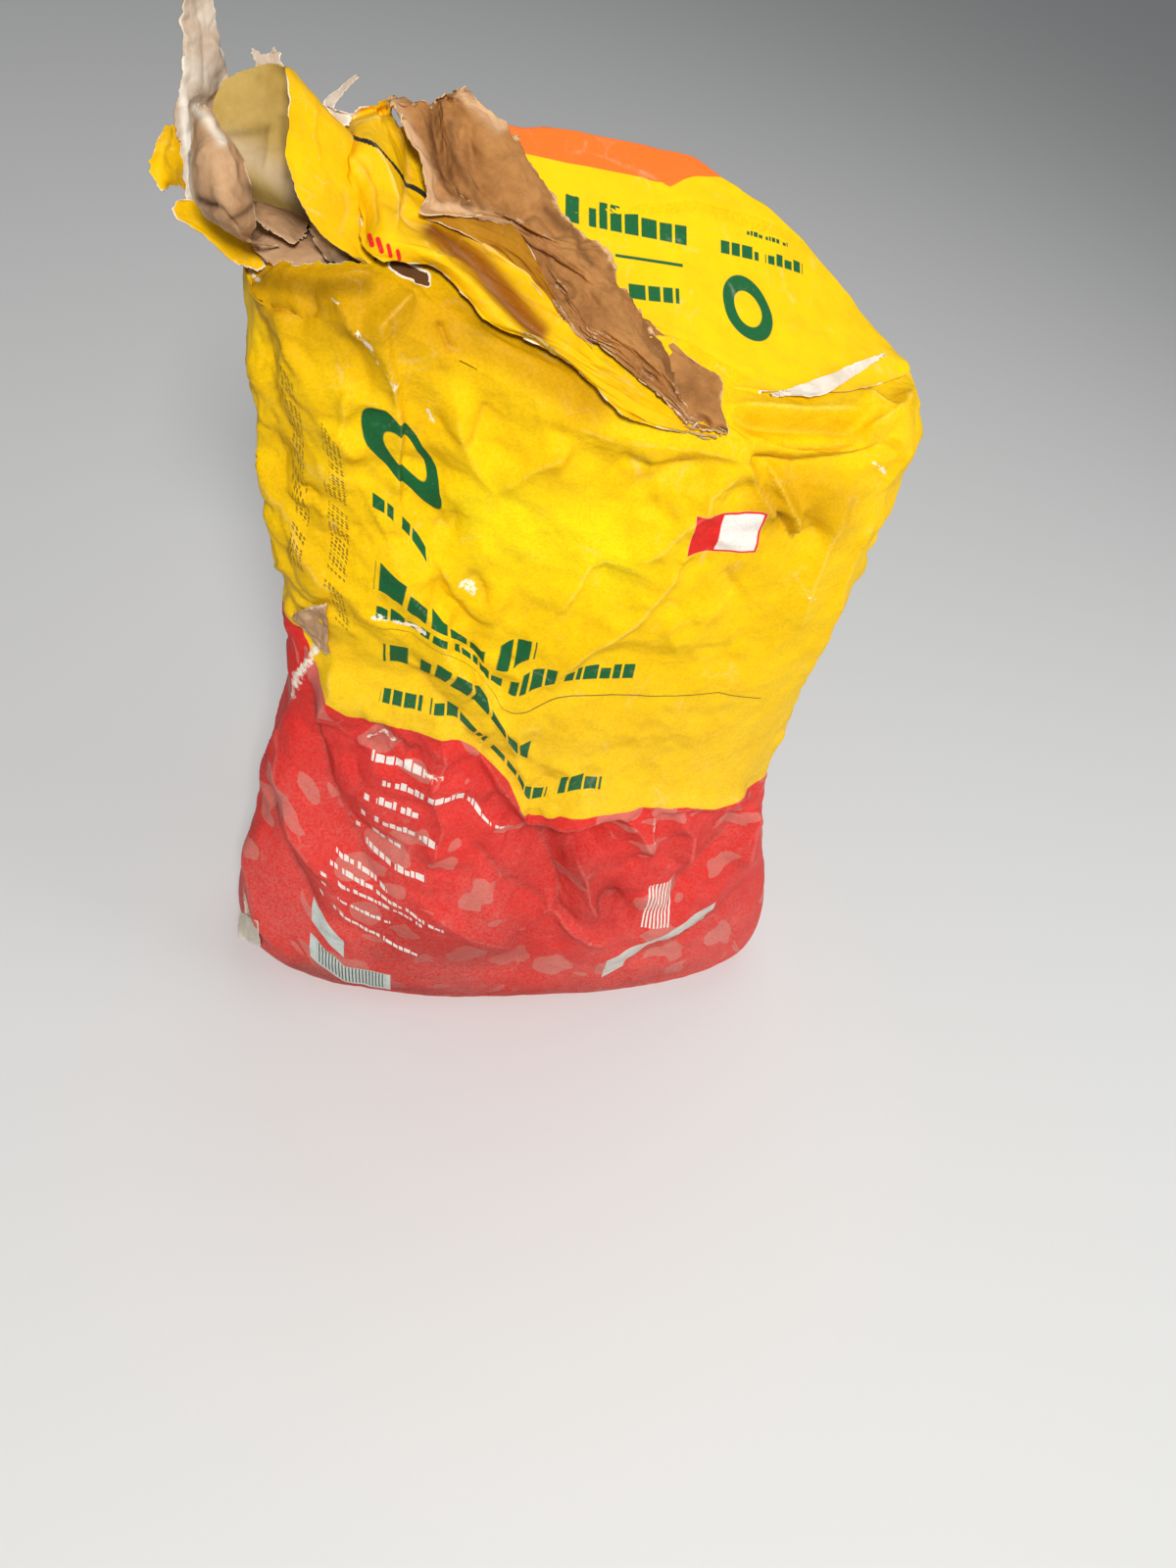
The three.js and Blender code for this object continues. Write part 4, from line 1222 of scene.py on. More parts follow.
def end_height(x, y):
    """Height of the finished top end over points of the plan, read between the four nearest grid points."""
    grid = sack_points[WALL_ROWS - 1:]
    centre = MOUTH_CENTRE * MM
    rim = grid[0, :, :2] - centre
    edge = grid[-1, :, :2] - centre
    turn = np.unwrap(np.arctan2(rim[:, 1], rim[:, 0]))
    order = np.argsort(turn)
    turn = turn[order]
    grid = grid[:, order]
    far = np.hypot(*rim[order].T)
    near = np.hypot(*edge[order].T)
    angle = np.arctan2(y - centre[1], x - centre[0])
    angle = turn[0] + np.mod(angle - turn[0], 2 * math.pi)
    turn = np.append(turn, turn[0] + 2 * math.pi)
    column = np.interp(angle, turn, np.arange(len(turn)))
    radius = np.hypot(x - centre[0], y - centre[1])
    far = np.interp(column, np.arange(len(turn)), np.append(far, far[0]))
    near = np.interp(column, np.arange(len(turn)), np.append(near, near[0]))
    k = np.clip((far - radius) / (far - near), 0, 1) ** (1 / RAY_SPACING)
    row = k * (END_ROWS - 1)
    i = np.clip(row.astype(int), 0, END_ROWS - 2)
    j = column.astype(int)
    down = row - i
    across = column - j
    j = j % (len(turn) - 1)
    other = (j + 1) % (len(turn) - 1)
    z = grid[..., 2]
    upper = z[i, j] * (1 - across) + z[i, other] * across
    lower = z[i + 1, j] * (1 - across) + z[i + 1, other] * across
    return upper * (1 - down) + lower * down


def thicken(piece, thickness):
    """Gives a sheet its thickness. The inner face and the rim take the second material."""
    solid = piece.modifiers.new("thickness", "SOLIDIFY")
    solid.thickness = thickness
    solid.offset = -1.0
    solid.material_offset = 1
    solid.material_offset_rim = 1
    solid.use_even_offset = False


def build_patch():
    """End patch: rings from its middle to a smooth outline, each point laid on the end's height."""
    edge = np.array(PATCH_EDGE + PATCH_EDGE[:1], float)
    knots = np.concatenate([edge[-2:-1], edge, edge[1:2]])
    outline = through(knots, np.linspace(1, len(edge), PATCH_COLUMNS + 1))[:-1] * MM
    k = np.linspace(0.003, 1, PATCH_ROWS)[:, None, None]
    plan = PATCH_MIDDLE + (outline[None] - PATCH_MIDDLE) * k
    height = end_height(plan[..., 0], plan[..., 1]) + PATCH_LIFT
    points = np.concatenate([plan, height[..., None]], axis=-1)
    rim = np.arange(PATCH_ROWS)[:, None] / (PATCH_ROWS - 1)
    torn = np.exp(-(1 - rim) * PATCH_ROWS / PATCH_FRAY)
    torn = torn * (0.62 + 0.25 * np.sin(np.linspace(0, 40, PATCH_COLUMNS)))[None, :]
    uv = np.concatenate([plan, plan[:, :1]], axis=1)
    piece = grid_piece("end_patch_sheet", points, uv, {"torn": torn}, wrap=True,
                       materials=[patch_material(), kraft_back])
    thicken(piece, PATCH_THICKNESS)
    join(piece, "end_patch")


build_patch()


# Rolled fold
# Right of the mouth the outer printed sheet is turned over in a long soft fold that runs to the front edge.
# It is held only by its own crease, and its cream-coloured back shows at the torn border.

# A net's rows hold pixel across, pixel down and lift above the end in mm.
FOLD_NET = [
    [(395, 103, 4), (385, 106, 6), (372, 111, 8), (358, 117, 8), (347, 123, 5)],
    [(408, 130, 4), (400, 134, 7), (386, 142, 11), (368, 152, 12), (353, 165, 7)],
    [(437, 203, 3), (425, 196, 4), (405, 196, 9), (385, 207, 13), (369, 222, 7)],
    [(458, 215, 3), (447, 222, 4), (424, 224, 6), (398, 238, 12), (377, 256, 6)],
    [(490, 240, 4), (476, 246, 3), (458, 249, 7), (430, 254, 11), (412, 268, 4.5)],
    [(525, 270, 4), (505, 280, 3), (487, 276, 4), (462, 272, 9.5), (446, 276, 4)],
    [(560, 310, 4), (545, 312, 3), (520, 305, 4), (495, 300, 9), (473, 302, 4)],
    [(592, 345, 3.5), (572, 345, 3), (552, 340, 3.5), (525, 333, 8), (503, 330, 4)],
    [(620, 372, 3), (605, 373, 2.5), (585, 366, 3.5), (560, 352, 7), (541, 349, 4)],
    [(655, 398, 2), (645, 400, 2), (628, 398, 4), (603, 385, 5), (590, 376, 3)],
    [(700, 424, 2), (692, 428, 1.6), (676, 430, 2.5), (654, 427, 3), (638, 424, 2)],
    [(742, 441, 1), (738, 443, 1), (732, 446, 1.2), (722, 447, 1.2), (712, 446, 1)],
]
FOLD_CREASES = [
    (2.2, 9, 14, [(372, 140), (392, 170), (407, 205), (402, 240)]),
    (-2.2, 10, 10, [(415, 135), (420, 175), (412, 215), (432, 238)]),
    (2.6, 10, 12, [(467, 233), (491, 251), (522, 274), (548, 290), (567, 311), (588, 342)]),
    (-1.6, 12, 12, [(455, 240), (478, 262), (498, 285), (530, 318), (560, 345)]),
    (1.6, 10, 10, [(357, 130), (372, 128), (392, 122)]),
    (-1.2, 8, 8, [(362, 160), (380, 190), (384, 230)]),
    (-1.0, 8, 8, [(450, 250), (462, 258), (470, 247)]),
    (0.9, 8, 8, [(430, 240), (445, 262), (462, 262)]),
]
# The printed rule and stamps on the fold, and the painted shade in its hollow, each with its radius and its
# way in pixels.
FOLD_RULE = [(2.4, [(362, 141), (380, 152), (401, 168), (420, 186), (437, 203)])]
FOLD_STAMP = [
    (3.0, [(378, 240), (381, 250)]),
    (3.0, [(386, 244), (390, 256)]),
    (2.6, [(396, 250), (399, 260)]),
    (2.6, [(406, 256), (408, 264)]),
]
FOLD_SHADE = [
    (13, [(443, 236), (462, 247), (488, 268), (514, 296), (536, 320), (550, 336)]),
    (5, [(494, 247), (515, 260), (532, 275)]),
    (6, [(440, 208), (452, 226), (470, 238)]),
]
# A darker copy of the yellow ink for the loose flaps and the fold: painted shade.
INK_FLAP_SHADED = (0.74, 0.40, 0.002, 1.0)
PAPER_THICKNESS = 0.0004
# The borders that a sheet can be torn along, the waves of a tear with their number and strength, and its
# reach in rows or columns.
ALL_SIDES = ("first_row", "last_row", "first_column", "last_column")
TEAR_WAVES = ((5, 1.0), (11, 0.7), (23, 0.5), (47, 0.35), (90, 0.2))
TEAR_REACH = 5.0
# A loose sheet has finer folds on its own ones, of these parts of their height and size.
FINER_HEIGHT = 0.5
FINER_SIZE = 0.45
# A ray to the top end starts at this distance, drops about so far a metre, and is walked in damped steps.
FIRST_DISTANCE = 0.43
RAY_DROP = 0.8
DAMPING = 0.6
LIFT_STEPS = 60
RIM_STEPS = 30
RIM_REACH = 0.001


def from_photo(net):
    """Points seen at photo pixels. A net's last axis holds pixel across, pixel down and distance in mm."""
    net = np.asarray(net, float)
    depth = net[..., 2:3] * MM
    across = (net[..., 0:1] - PHOTO_CENTRE[0]) / PHOTO_FOCAL
    down = (net[..., 1:2] - PHOTO_CENTRE[1]) / PHOTO_FOCAL
    return EYE + depth * (LOOK + across * ACROSS + down * DOWN)


def net_surface(net, rows, columns):
    """Smooth surface of rows by columns points through a net of control points."""
    net = np.asarray(net, float)
    down = through(net, np.linspace(0, len(net) - 1, rows))
    both = through(np.swapaxes(down, 0, 1), np.linspace(0, net.shape[1] - 1, columns))
    return np.swapaxes(both, 0, 1)


def past_rim(x, y):
    """How far outside the rim of the top end points of the plan lie, negative inside."""
    centre = MOUTH_CENTRE * MM
    rim = sack_points[WALL_ROWS - 1, :, :2] - centre
    turn = np.arctan2(rim[:, 1], rim[:, 0])
    order = np.argsort(turn)
    angle = np.arctan2(y - centre[1], x - centre[0])
    far = np.interp(angle, turn[order], np.hypot(*rim[order].T), period=2 * math.pi)
    return np.hypot(x - centre[0], y - centre[1]) - far


def on_top(net):
    """Points on the top end seen at photo pixels. A net's last axis holds pixel across, pixel down and lift
    above the end in mm. Each ray is walked until its height over the end is the lift, and points that fall
    past the rear rim are drawn back to it."""
    net = np.asarray(net, float)
    depth = np.full(net.shape[:-1], FIRST_DISTANCE)
    flat = net.copy()
    for _ in range(LIFT_STEPS):
        flat[..., 2] = depth * PER_METRE
        spot = from_photo(flat)
        miss = spot[..., 2] - end_height(spot[..., 0], spot[..., 1]) - net[..., 2] * MM
        depth = depth + DAMPING * miss / RAY_DROP
    for _ in range(RIM_STEPS):
        past = np.maximum(past_rim(spot[..., 0], spot[..., 1]) - RIM_REACH, 0)
        depth = depth - np.where(spot[..., 1] > 0, past, 0)
        flat[..., 2] = depth * PER_METRE
        spot = from_photo(flat)
    return spot


def ragged(points, amount, seed, sides):
    """Pushes the borders of a grid in and out in its own surface as a tear does: by waves of several lengths
    that fade inwards. Returns the points and how near each is to a torn border, from 0 inside to 1 on it."""
    rng = np.random.default_rng(seed)
    rows, columns = points.shape[:2]
    moved = points.copy()
    torn = np.zeros((rows, columns))
    row = np.arange(rows)
    column = np.arange(columns)

    def tear(count):
        """Waves of a tear along a border of so many points."""
        waves = np.zeros(count)
        place = np.linspace(0, 1, count)
        for beats, size in TEAR_WAVES:
            knots = rng.uniform(-1, 1, beats + 2)
            waves += size * np.interp(place * beats, np.arange(beats + 2), knots)
        return waves

    down = np.gradient(points, axis=0)
    down /= np.maximum(np.linalg.norm(down, axis=-1, keepdims=True), 1e-9)
    across = np.gradient(points, axis=1)
    across /= np.maximum(np.linalg.norm(across, axis=-1, keepdims=True), 1e-9)
    plans = {
        "first_row": (-down, np.exp(-row / TEAR_REACH)[:, None], tear(columns)[None, :]),
        "last_row": (down, np.exp(-(rows - 1 - row) / TEAR_REACH)[:, None], tear(columns)[None, :]),
        "first_column": (-across, np.exp(-column / TEAR_REACH)[None, :], tear(rows)[:, None]),
        "last_column": (across, np.exp(-(columns - 1 - column) / TEAR_REACH)[None, :], tear(rows)[:, None]),
    }
    for side in sides:
        direction, fade, wave = plans[side]
        moved += direction * (fade * wave * amount)[..., None]
        torn = np.maximum(torn, np.broadcast_to(fade, (rows, columns)))
    return moved, torn


def torn_sheet(name, points, seed, materials, replaced, slot, tear, edges, crush, size, creases=(), turn=-1.0,
               frayed=0.9, marks=None):
    """Finishes a loose sheet: folds it finely, frays the given borders and gives it its thickness. A turn of
    -1 makes the net's rear face the first material's, and marks are more vertex values."""
    normal = normals_of(points) * turn
    run = np.linalg.norm(np.diff(points, axis=1, prepend=points[:, :1]), axis=-1).cumsum(axis=1) * PER_METRE
    fall = np.linalg.norm(np.diff(points, axis=0, prepend=points[:1]), axis=-1).cumsum(axis=0) * PER_METRE
    folds = facets(run, fall, size, seed) + FINER_HEIGHT * facets(run, fall, size * FINER_SIZE, seed + 1)
    across, down, _ = to_photo(points)
    relief, ridge, hollow = crease_relief(across, down, creases)
    moved = points + normal * (folds * crush + relief * MM)[..., None]
    moved, torn = ragged(moved, tear, seed + 2, edges)
    values = {"torn": torn * frayed, "ridge": ridge, "hollow": hollow, **(marks or {})}
    if turn < 0:
        moved = moved[:, ::-1]
        values = {key: value[:, ::-1] for key, value in values.items()}
    piece = grid_piece(name, moved, None, values, materials=materials)
    thicken(piece, PAPER_THICKNESS)
    join(piece, replaced)


def marks_on(points, **ways):
    """Vertex values of a sheet: how near each point is to the named ways in photo pixels."""
    across, down, _ = to_photo(points)
    return {label: near_ways(across, down, way) for label, way in ways.items()}


def build_fold():
    """The fold's net laid on the end and smoothed again, with its rule, stamps and the painted shade in its
    hollow.
    """
    shaded_fold_print = plain_print("printed_fold", INK_YELLOW_DEEP, INK_FLAP_SHADED, wear=0.12, base_dust=0.0, inks=True)
    cream_back = kraft_material("cream_paper_back", rgb("C0A678"), rgb("A48646"), 0.03, 0.0006, rgb("DCD0B8"))
    points = net_surface(on_top(net_surface(FOLD_NET, 45, 17)), 170, 84)
    marks = marks_on(points, line=FOLD_RULE, stamp=FOLD_STAMP, shade=FOLD_SHADE)
    torn_sheet("rolled_fold", points, 71, [shaded_fold_print, cream_back], "outer_ply", "printed_paper", 0.0009,
               ("first_row", "last_column"), 0.0008, 14.0, FOLD_CREASES, turn=1.0, frayed=0.72, marks=marks)


build_fold()


# Torn strip
# A long tear of the brown inner ply was pulled out over the fold and lies loose on the end, its left border
# curled up like a flange. A second layer of the same ply shows along its right.
STRIP_NET = [
    [(395, 102, 12), (437, 104, 9), (450, 98, 8), (468, 92, 14), (476, 90, 13)],
    [(404, 109, 12), (442, 120, 7), (455, 118, 8), (480, 115, 14), (500, 122, 9)],
    [(411, 131, 12), (445, 142, 6), (462, 145, 8), (495, 145, 13), (522, 146, 8)],
    [(424, 155, 11), (446, 160, 6), (468, 170, 8), (515, 170, 13), (545, 172, 8)],
    [(431, 178, 10), (452, 182, 6), (478, 192, 8), (532, 196, 13), (564, 200, 8)],
    [(436, 199, 9), (462, 199, 5), (492, 210, 8), (548, 222, 13), (582, 226, 8)],
    [(432, 219, 8), (470, 214, 7), (509, 219, 9), (560, 240, 13), (604, 243, 7)],
    [(492, 221, 8), (505, 226, 8), (532, 232, 9), (577, 252, 13), (621, 254, 7)],
    [(524, 229, 7), (532, 238, 7), (548, 250, 9), (592, 270, 13), (628, 268, 7)],
    [(537, 250, 6), (548, 258, 6), (567, 268, 8), (608, 290, 12), (628, 290, 6)],
    [(556, 284, 5), (566, 290, 5), (586, 302, 8), (622, 309, 12), (643, 306, 8)],
    [(571, 310, 5), (584, 318, 5), (603, 328, 8), (636, 334, 11), (661, 332, 8)],
    [(588, 338, 4), (604, 342, 5), (626, 347, 8), (656, 356, 11), (680, 368, 8)],
    [(611, 352, 4), (630, 358, 5), (648, 364, 7), (671, 376, 10), (690, 393, 7)],
    [(648, 383, 3), (660, 388, 4), (672, 392, 6), (684, 398, 7), (695, 407, 4)],
    [(684, 413, 3), (689, 415, 4), (694, 417, 5), (698, 420, 5), (704, 425, 3)],
    [(700, 430, 2), (703, 431, 3), (706, 432, 3.5), (709, 433, 3.5), (712, 435, 2.5)],
]
UNDER_NET = [
    [(640, 318, 4), (650, 322, 4), (662, 327, 3)],
    [(660, 350, 4), (676, 352, 4), (692, 355, 3)],
    [(676, 372, 4), (696, 372, 5), (716, 373, 4)],
    [(684, 392, 3), (710, 390, 5), (736, 388, 5)],
    [(690, 412, 3), (714, 412, 5), (737, 412, 4)],
    [(702, 433, 2), (722, 438, 4), (743, 442, 3)],
]
FLANGE_NET = [
    [(431, 221, 5), (452, 215, 6), (480, 216, 7), (510, 220, 8)],
    [(446, 228, 5), (470, 228, 6.5), (500, 232, 7), (532, 240, 8)],
    [(478, 240, 6), (498, 243, 7), (522, 253, 7), (548, 268, 7)],
    [(512, 262, 5), (528, 266, 5), (545, 280, 5), (564, 300, 6)],
    [(545, 292, 5), (555, 298, 5), (568, 312, 5), (584, 334, 5)],
    [(570, 322, 4.5), (578, 328, 4.5), (588, 338, 4), (602, 352, 4)],
]
STRIP_CREASES = [
    (2.6, 6, 9, [(450, 98), (455, 118), (460, 145), (470, 175), (492, 210)]),
    (-3.0, 6, 7, [(442, 106), (446, 135), (450, 165), (466, 195)]),
    (2.0, 5, 12, [(474, 128), (470, 153), (479, 189), (481, 211)]),
    (-2.0, 8, 8, [(478, 130), (480, 160), (490, 190), (520, 215)]),
    (-2.2, 9, 9, [(523, 225), (547, 216), (571, 235), (588, 240)]),
    (-3.0, 8, 8, [(552, 262), (557, 281), (571, 296), (578, 310)]),
    (1.6, 12, 12, [(500, 110), (515, 140), (540, 175), (575, 215)]),
    (1.8, 9, 12, [(580, 250), (600, 290), (630, 330), (660, 365)]),
    (-1.8, 9, 9, [(600, 235), (590, 262), (596, 290), (612, 318)]),
    (1.2, 8, 8, [(430, 175), (436, 200), (450, 214)]),
    (-1.4, 8, 8, [(640, 345), (655, 372), (672, 392)]),
]
# Painted light on faces turned towards the light and painted shade in the valleys, each with its radius and
# its way in pixels.
STRIP_PAINTED_LIGHT = [
    (9, [(402, 108), (414, 134), (426, 160), (434, 184), (438, 206)]),
    (6, [(440, 212), (468, 214), (498, 222), (520, 236)]),
    (6, [(470, 96), (490, 112), (506, 134)]),
]
STRIP_SHADE = [
    (6, [(445, 112), (441, 140), (447, 168), (458, 194), (480, 210)]),
    (4, [(462, 128), (462, 160), (476, 190), (492, 212)]),
    (4, [(512, 226), (540, 258), (560, 300), (584, 336)]),
    (4, [(558, 212), (588, 238), (604, 270)]),
    (5, [(659, 332), (677, 360), (690, 392)]),
    (8, [(700, 380), (716, 404), (724, 424)]),
]


def build_strip():
    """Strip, the layer under it and its flange, each net laid on the end and smoothed again."""
    # The strip's pale colour is painted light, and its shade marks are painted shade.
    kraft_face = kraft_material("kraft_strip_paper", rgb("B47E46"), rgb("88562C"), 0.016, 0.0012,
                                rgb("CFA878"), rgb("D2A980"))
    # The flange's kraft is darkened to amber: painted shade and painted yellow reflection.
    shaded_flange_paper = kraft_material("kraft_flange_paper_shaded", rgb("B07A14"), rgb("945B08"), 0.018, 0.0009)
    strip = ("kraft_strip", "strip_paper")
    points = net_surface(on_top(net_surface(STRIP_NET, 65, 17)), 240, 72)
    torn_sheet("torn_strip", points, 83, [kraft_face, kraft_back], *strip, 0.0016, ALL_SIDES, 0.0014, 10.0,
               STRIP_CREASES, marks=marks_on(points, pale=STRIP_PAINTED_LIGHT, shade=STRIP_SHADE))
    points = net_surface(on_top(net_surface(UNDER_NET, 16, 7)), 70, 40)
    torn_sheet("strip_under_layer", points, 91, [kraft_face, kraft_back], *strip, 0.0009,
               ("last_row", "last_column"), 0.0006, 10.0)
    points = net_surface(on_top(net_surface(FLANGE_NET, 21, 13)), 80, 50)
    torn_sheet("strip_flange", points, 97, [shaded_flange_paper, kraft_back], *strip, 0.0009,
               ("last_row", "first_column"), 0.0007, 12.0)


build_strip()


# Curled leaf
# A piece of the printed outer sheet torn loose at the mouth stands up, then folds forward at its right. The
# sheet's own curl holds it.

# From here on a net's rows hold pixel across, pixel down and distance in mm.
LEAF_NET = [
    [(203, 97, 398), (238, 74, 399), (274, 63, 402), (299, 72, 400), (296, 70, 394), (292, 68, 391)],
    [(201, 112, 400), (250, 104, 404), (298, 96, 410), (331, 110, 408), (314, 100, 396), (296, 100, 389)],
    [(212, 148, 403), (256, 140, 409), (312, 140, 418), (362, 143, 411), (327, 145, 399), (292, 146, 388)],
    [(236, 178, 408), (270, 176, 414), (320, 180, 424), (374, 190, 411), (337, 187, 400), (298, 184, 389)],
    [(262, 206, 412), (284, 208, 419), (326, 212, 428), (376, 222, 409), (346, 222, 399), (312, 216, 391)],
    [(290, 222, 416), (304, 224, 423), (336, 232, 430), (378, 250, 405), (359, 249, 399), (334, 245, 394)],
    [(322, 232, 418), (332, 238, 422), (352, 250, 422), (388, 278, 402), (382, 275, 400), (372, 268, 399)],
]
LEAF_CREASES = [
    (1.0, 8, 8, [(276, 125), (275, 150), (270, 178)]),
    (-0.8, 8, 12, [(345, 240), (355, 215), (352, 190)]),
    (0.8, 10, 10, [(320, 100), (318, 140), (330, 180)]),
]
LEAF_PALE = [(17, [(232, 150), (256, 158), (284, 182), (306, 206)])]
# Painted shade along the leaf's folds and in the hollow under it, each with its strength, radius and way in
# pixels.
LEAF_SHADE = [
    (0.7, 5, [(228, 138), (250, 136), (272, 132)]),
    (0.7, 4, [(288, 120), (290, 150), (292, 180)]),
    (1.5, 12, [(256, 194), (276, 206), (298, 216)]),
]
# The flaps' yellow is the deeper ink, as painted shade.
shaded_yellow_flap = plain_print("printed_flap", INK_YELLOW_DEEP, INK_FLAP_SHADED, base_dust=0.0)


def build_leaf():
    """The leaf's net, with the pale places and the painted shade of its back."""
    leaf_back = kraft_material("leaf_paper_back", rgb("BC9E58"), rgb("A08038"), 0.03, 0.0006, rgb("DCD0B8"),
                               rgb("C2AA86"))
    points = from_photo(net_surface(LEAF_NET, 130, 150))
    across, down, _ = to_photo(points)
    marks = marks_on(points, pale=LEAF_PALE)
    marks["shade"] = soft_ways(across, down, LEAF_SHADE)
    torn_sheet("curled_leaf", points, 101, [shaded_yellow_flap, leaf_back], "kraft_ply", "printed_paper", 0.0008,
               ALL_SIDES, 0.0006, 15.0, LEAF_CREASES, turn=1.0, frayed=0.6, marks=marks)


build_leaf()


# Loose kraft at the mouth
# The inner plies tore in layers: a tall spear at the left, a baggy pouch in front of it, short tongues that
# hang over the front lip, and a few scraps caught between them.
SPEAR_NET = [
    [(196, -36, 368), (199, -37, 369), (203, -36, 372)],
    [(187, 0, 374), (200, -2, 378), (216, 2, 384)],
    [(185, 35, 379), (202, 38, 384), (221, 34, 391)],
    [(183, 79, 384), (208, 80, 391), (235, 76, 401)],
    [(177, 110, 388), (204, 112, 396), (238, 104, 408)],
    [(180, 140, 392), (206, 142, 400), (244, 138, 412)],
    [(186, 170, 397), (212, 168, 406), (252, 170, 418)],
    [(190, 205, 402), (218, 203, 411), (264, 200, 425)],
    [(205, 228, 408), (234, 236, 417), (280, 236, 430)],
]
POUCH_NET = [
    [(203, 107, 374), (209, 110, 372), (214, 114, 373), (218, 118, 377)],
    [(199, 130, 374), (208, 130, 369), (220, 132, 370), (231, 137, 377)],
    [(196, 156, 375), (212, 155, 366), (230, 156, 368), (248, 159, 378)],
    [(194, 180, 377), (214, 182, 366), (236, 182, 368), (256, 180, 381)],
    [(197, 204, 381), (218, 206, 369), (240, 207, 371), (259, 205, 385)],
    [(208, 222, 386), (226, 226, 377), (244, 230, 378), (261, 230, 390)],
    [(226, 233, 394), (236, 238, 388), (246, 243, 388), (256, 243, 396)],
    [(252, 246, 408), (262, 248, 404), (272, 250, 404), (284, 250, 408)],
]
TONGUE_LOW = [
    [(262, 224, 421), (282, 222, 426), (320, 228, 431)],
    [(256, 243, 411), (285, 243, 413), (334, 243, 417)],
    [(262, 256, 408), (288, 262, 409), (338, 258, 412)],
    [(270, 266, 409), (291, 274, 409), (334, 268, 413)],
]
TONGUE_HIGH = [
    [(262, 196, 418), (284, 204, 424), (312, 216, 430)],
    [(257, 208, 409), (284, 218, 413), (316, 229, 419)],
    [(262, 224, 405), (286, 234, 407), (312, 236, 413)],
    [(272, 233, 405), (296, 246, 406), (312, 240, 412)],
]
SCRAP_PALE = [
    [(316, 228, 404), (330, 232, 403), (350, 240, 405)],
    [(320, 246, 404), (338, 252, 402), (360, 254, 404)],
    [(328, 262, 408), (344, 270, 408), (366, 268, 408)],
]
SCRAP_GREY = [
    [(344, 252, 407), (356, 256, 406), (370, 262, 407)],
    [(350, 264, 408), (360, 268, 407), (374, 274, 408)],
    [(356, 272, 410), (364, 277, 409), (372, 277, 409)],
]
TAG_NET = [
    [(257, 46, 404), (268, 54, 404), (281, 50, 404)],
    [(258, 56, 404), (270, 60, 404), (284, 58, 404)],
    [(260, 67, 404), (272, 68, 404), (288, 68, 404)],
]
SHRED_NET = [
    [(364, 75, 425), (365, 77, 425), (366, 79, 425)],
    [(348, 88, 423), (350, 91, 423), (352, 95, 423)],
    [(330, 103, 420), (336, 108, 420), (342, 112, 420)],
    [(334, 110, 420), (346, 116, 421), (359, 119, 422)],
    [(338, 122, 421), (346, 126, 421), (356, 128, 422)],
]
SPEAR_CREASES = [
    (1.0, 4, 5, [(212, 36), (219, 52), (230, 74), (233, 100)]),
    (-0.9, 5, 5, [(200, 0), (206, 30), (208, 60), (206, 90)]),
    (0.9, 5, 5, [(188, 80), (189, 120), (190, 160), (193, 200)]),
]
POUCH_CREASES = [
    (1.0, 4, 7, [(213, 150), (207, 160), (205, 172)]),
    (-0.9, 5, 7, [(232, 150), (246, 166), (250, 190)]),
    (1.0, 4, 8, [(215, 190), (232, 196), (250, 215)]),
    (-0.9, 4, 6, [(222, 212), (234, 226), (246, 236)]),
    (-3.0, 6, 6, [(204, 206), (212, 212), (219, 216)]),
    (0.9, 3, 6, [(228, 140), (236, 165), (240, 185), (252, 200)]),
]
MOUTH_PALE = [
    (5, [(184, 40), (180, 80), (188, 120), (192, 170), (194, 205)]),
    (7, [(196, 216), (206, 232), (222, 240)]),
    (5, [(200, 110), (212, 124), (226, 146)]),
]
# Painted shade in the hollows between the loose sheets, each with its radius and its way in pixels.
MOUTH_SHADE = [
    (9, [(258, 190), (270, 204), (290, 214), (306, 226)]),
    (5, [(206, 203), (214, 212)]),
    (4, [(236, 226), (250, 216), (262, 206)]),
]
MOUTH_SHADING = 1.5
MOUTH_SEED = 120
SEED_STEP = 7
kraft_pale = kraft_material("kraft_pale_paper", rgb("C29C76"), rgb("A07650"), 0.02, 0.001,
                            pale_and_lit_colour=rgb("DCD0BC"))


def build_mouth_paper():
    """Each loose sheet from its net, with its rows and columns, its papers and the node that it belongs to,
    and its tear, crush and fold size."""
    kraft_white = kraft_material("kraft_torn_paper", rgb("CEC0AE"), rgb("A6866A"), 0.02, 0.001, rgb("E0D8CA"),
                                 rgb("E4DCCE"))
    brown = [kraft_pale, kraft_pale]
    white = [kraft_white, kraft_white]
    mixed = [kraft_white, kraft_pale]
    plans = (
        ("torn_spear", SPEAR_NET, 150, 50, mixed, "kraft_spear", 0.0012, 0.0012, 9.0, SPEAR_CREASES),
        ("torn_pouch", POUCH_NET, 110, 60, brown, "kraft_pouch", 0.0010, 0.0009, 15.0, POUCH_CREASES),
        ("low_tongue", TONGUE_LOW, 50, 70, brown, "kraft_ply", 0.0010, 0.0007, 9.0, ()),
        ("high_tongue", TONGUE_HIGH, 50, 70, brown, "kraft_ply", 0.0010, 0.0007, 9.0, ()),
        ("pale_scrap", SCRAP_PALE, 30, 30, brown, "kraft_ply", 0.0010, 0.0006, 6.0, ()),
        ("grey_scrap", SCRAP_GREY, 30, 30, white, "kraft_ply", 0.0010, 0.0006, 6.0, ()),
        ("white_tag", TAG_NET, 24, 30, white, "kraft_ply", 0.0008, 0.0004, 6.0, ()),
        ("grey_shred", SHRED_NET, 40, 16, white, "kraft_ply", 0.0005, 0.0004, 6.0, ()),
    )
    for order, (name, net, rows, columns, papers, replaced, tear, crush, size, creases) in enumerate(plans):
        points = from_photo(net_surface(net, rows, columns))
        marks = marks_on(points, pale=MOUTH_PALE, shade=MOUTH_SHADE)
        marks["shade"] *= MOUTH_SHADING
        torn_sheet(name, points, MOUTH_SEED + SEED_STEP * order, papers, replaced, "kraft_paper", tear,
                   ALL_SIDES, crush, size, creases, marks=marks)


build_mouth_paper()


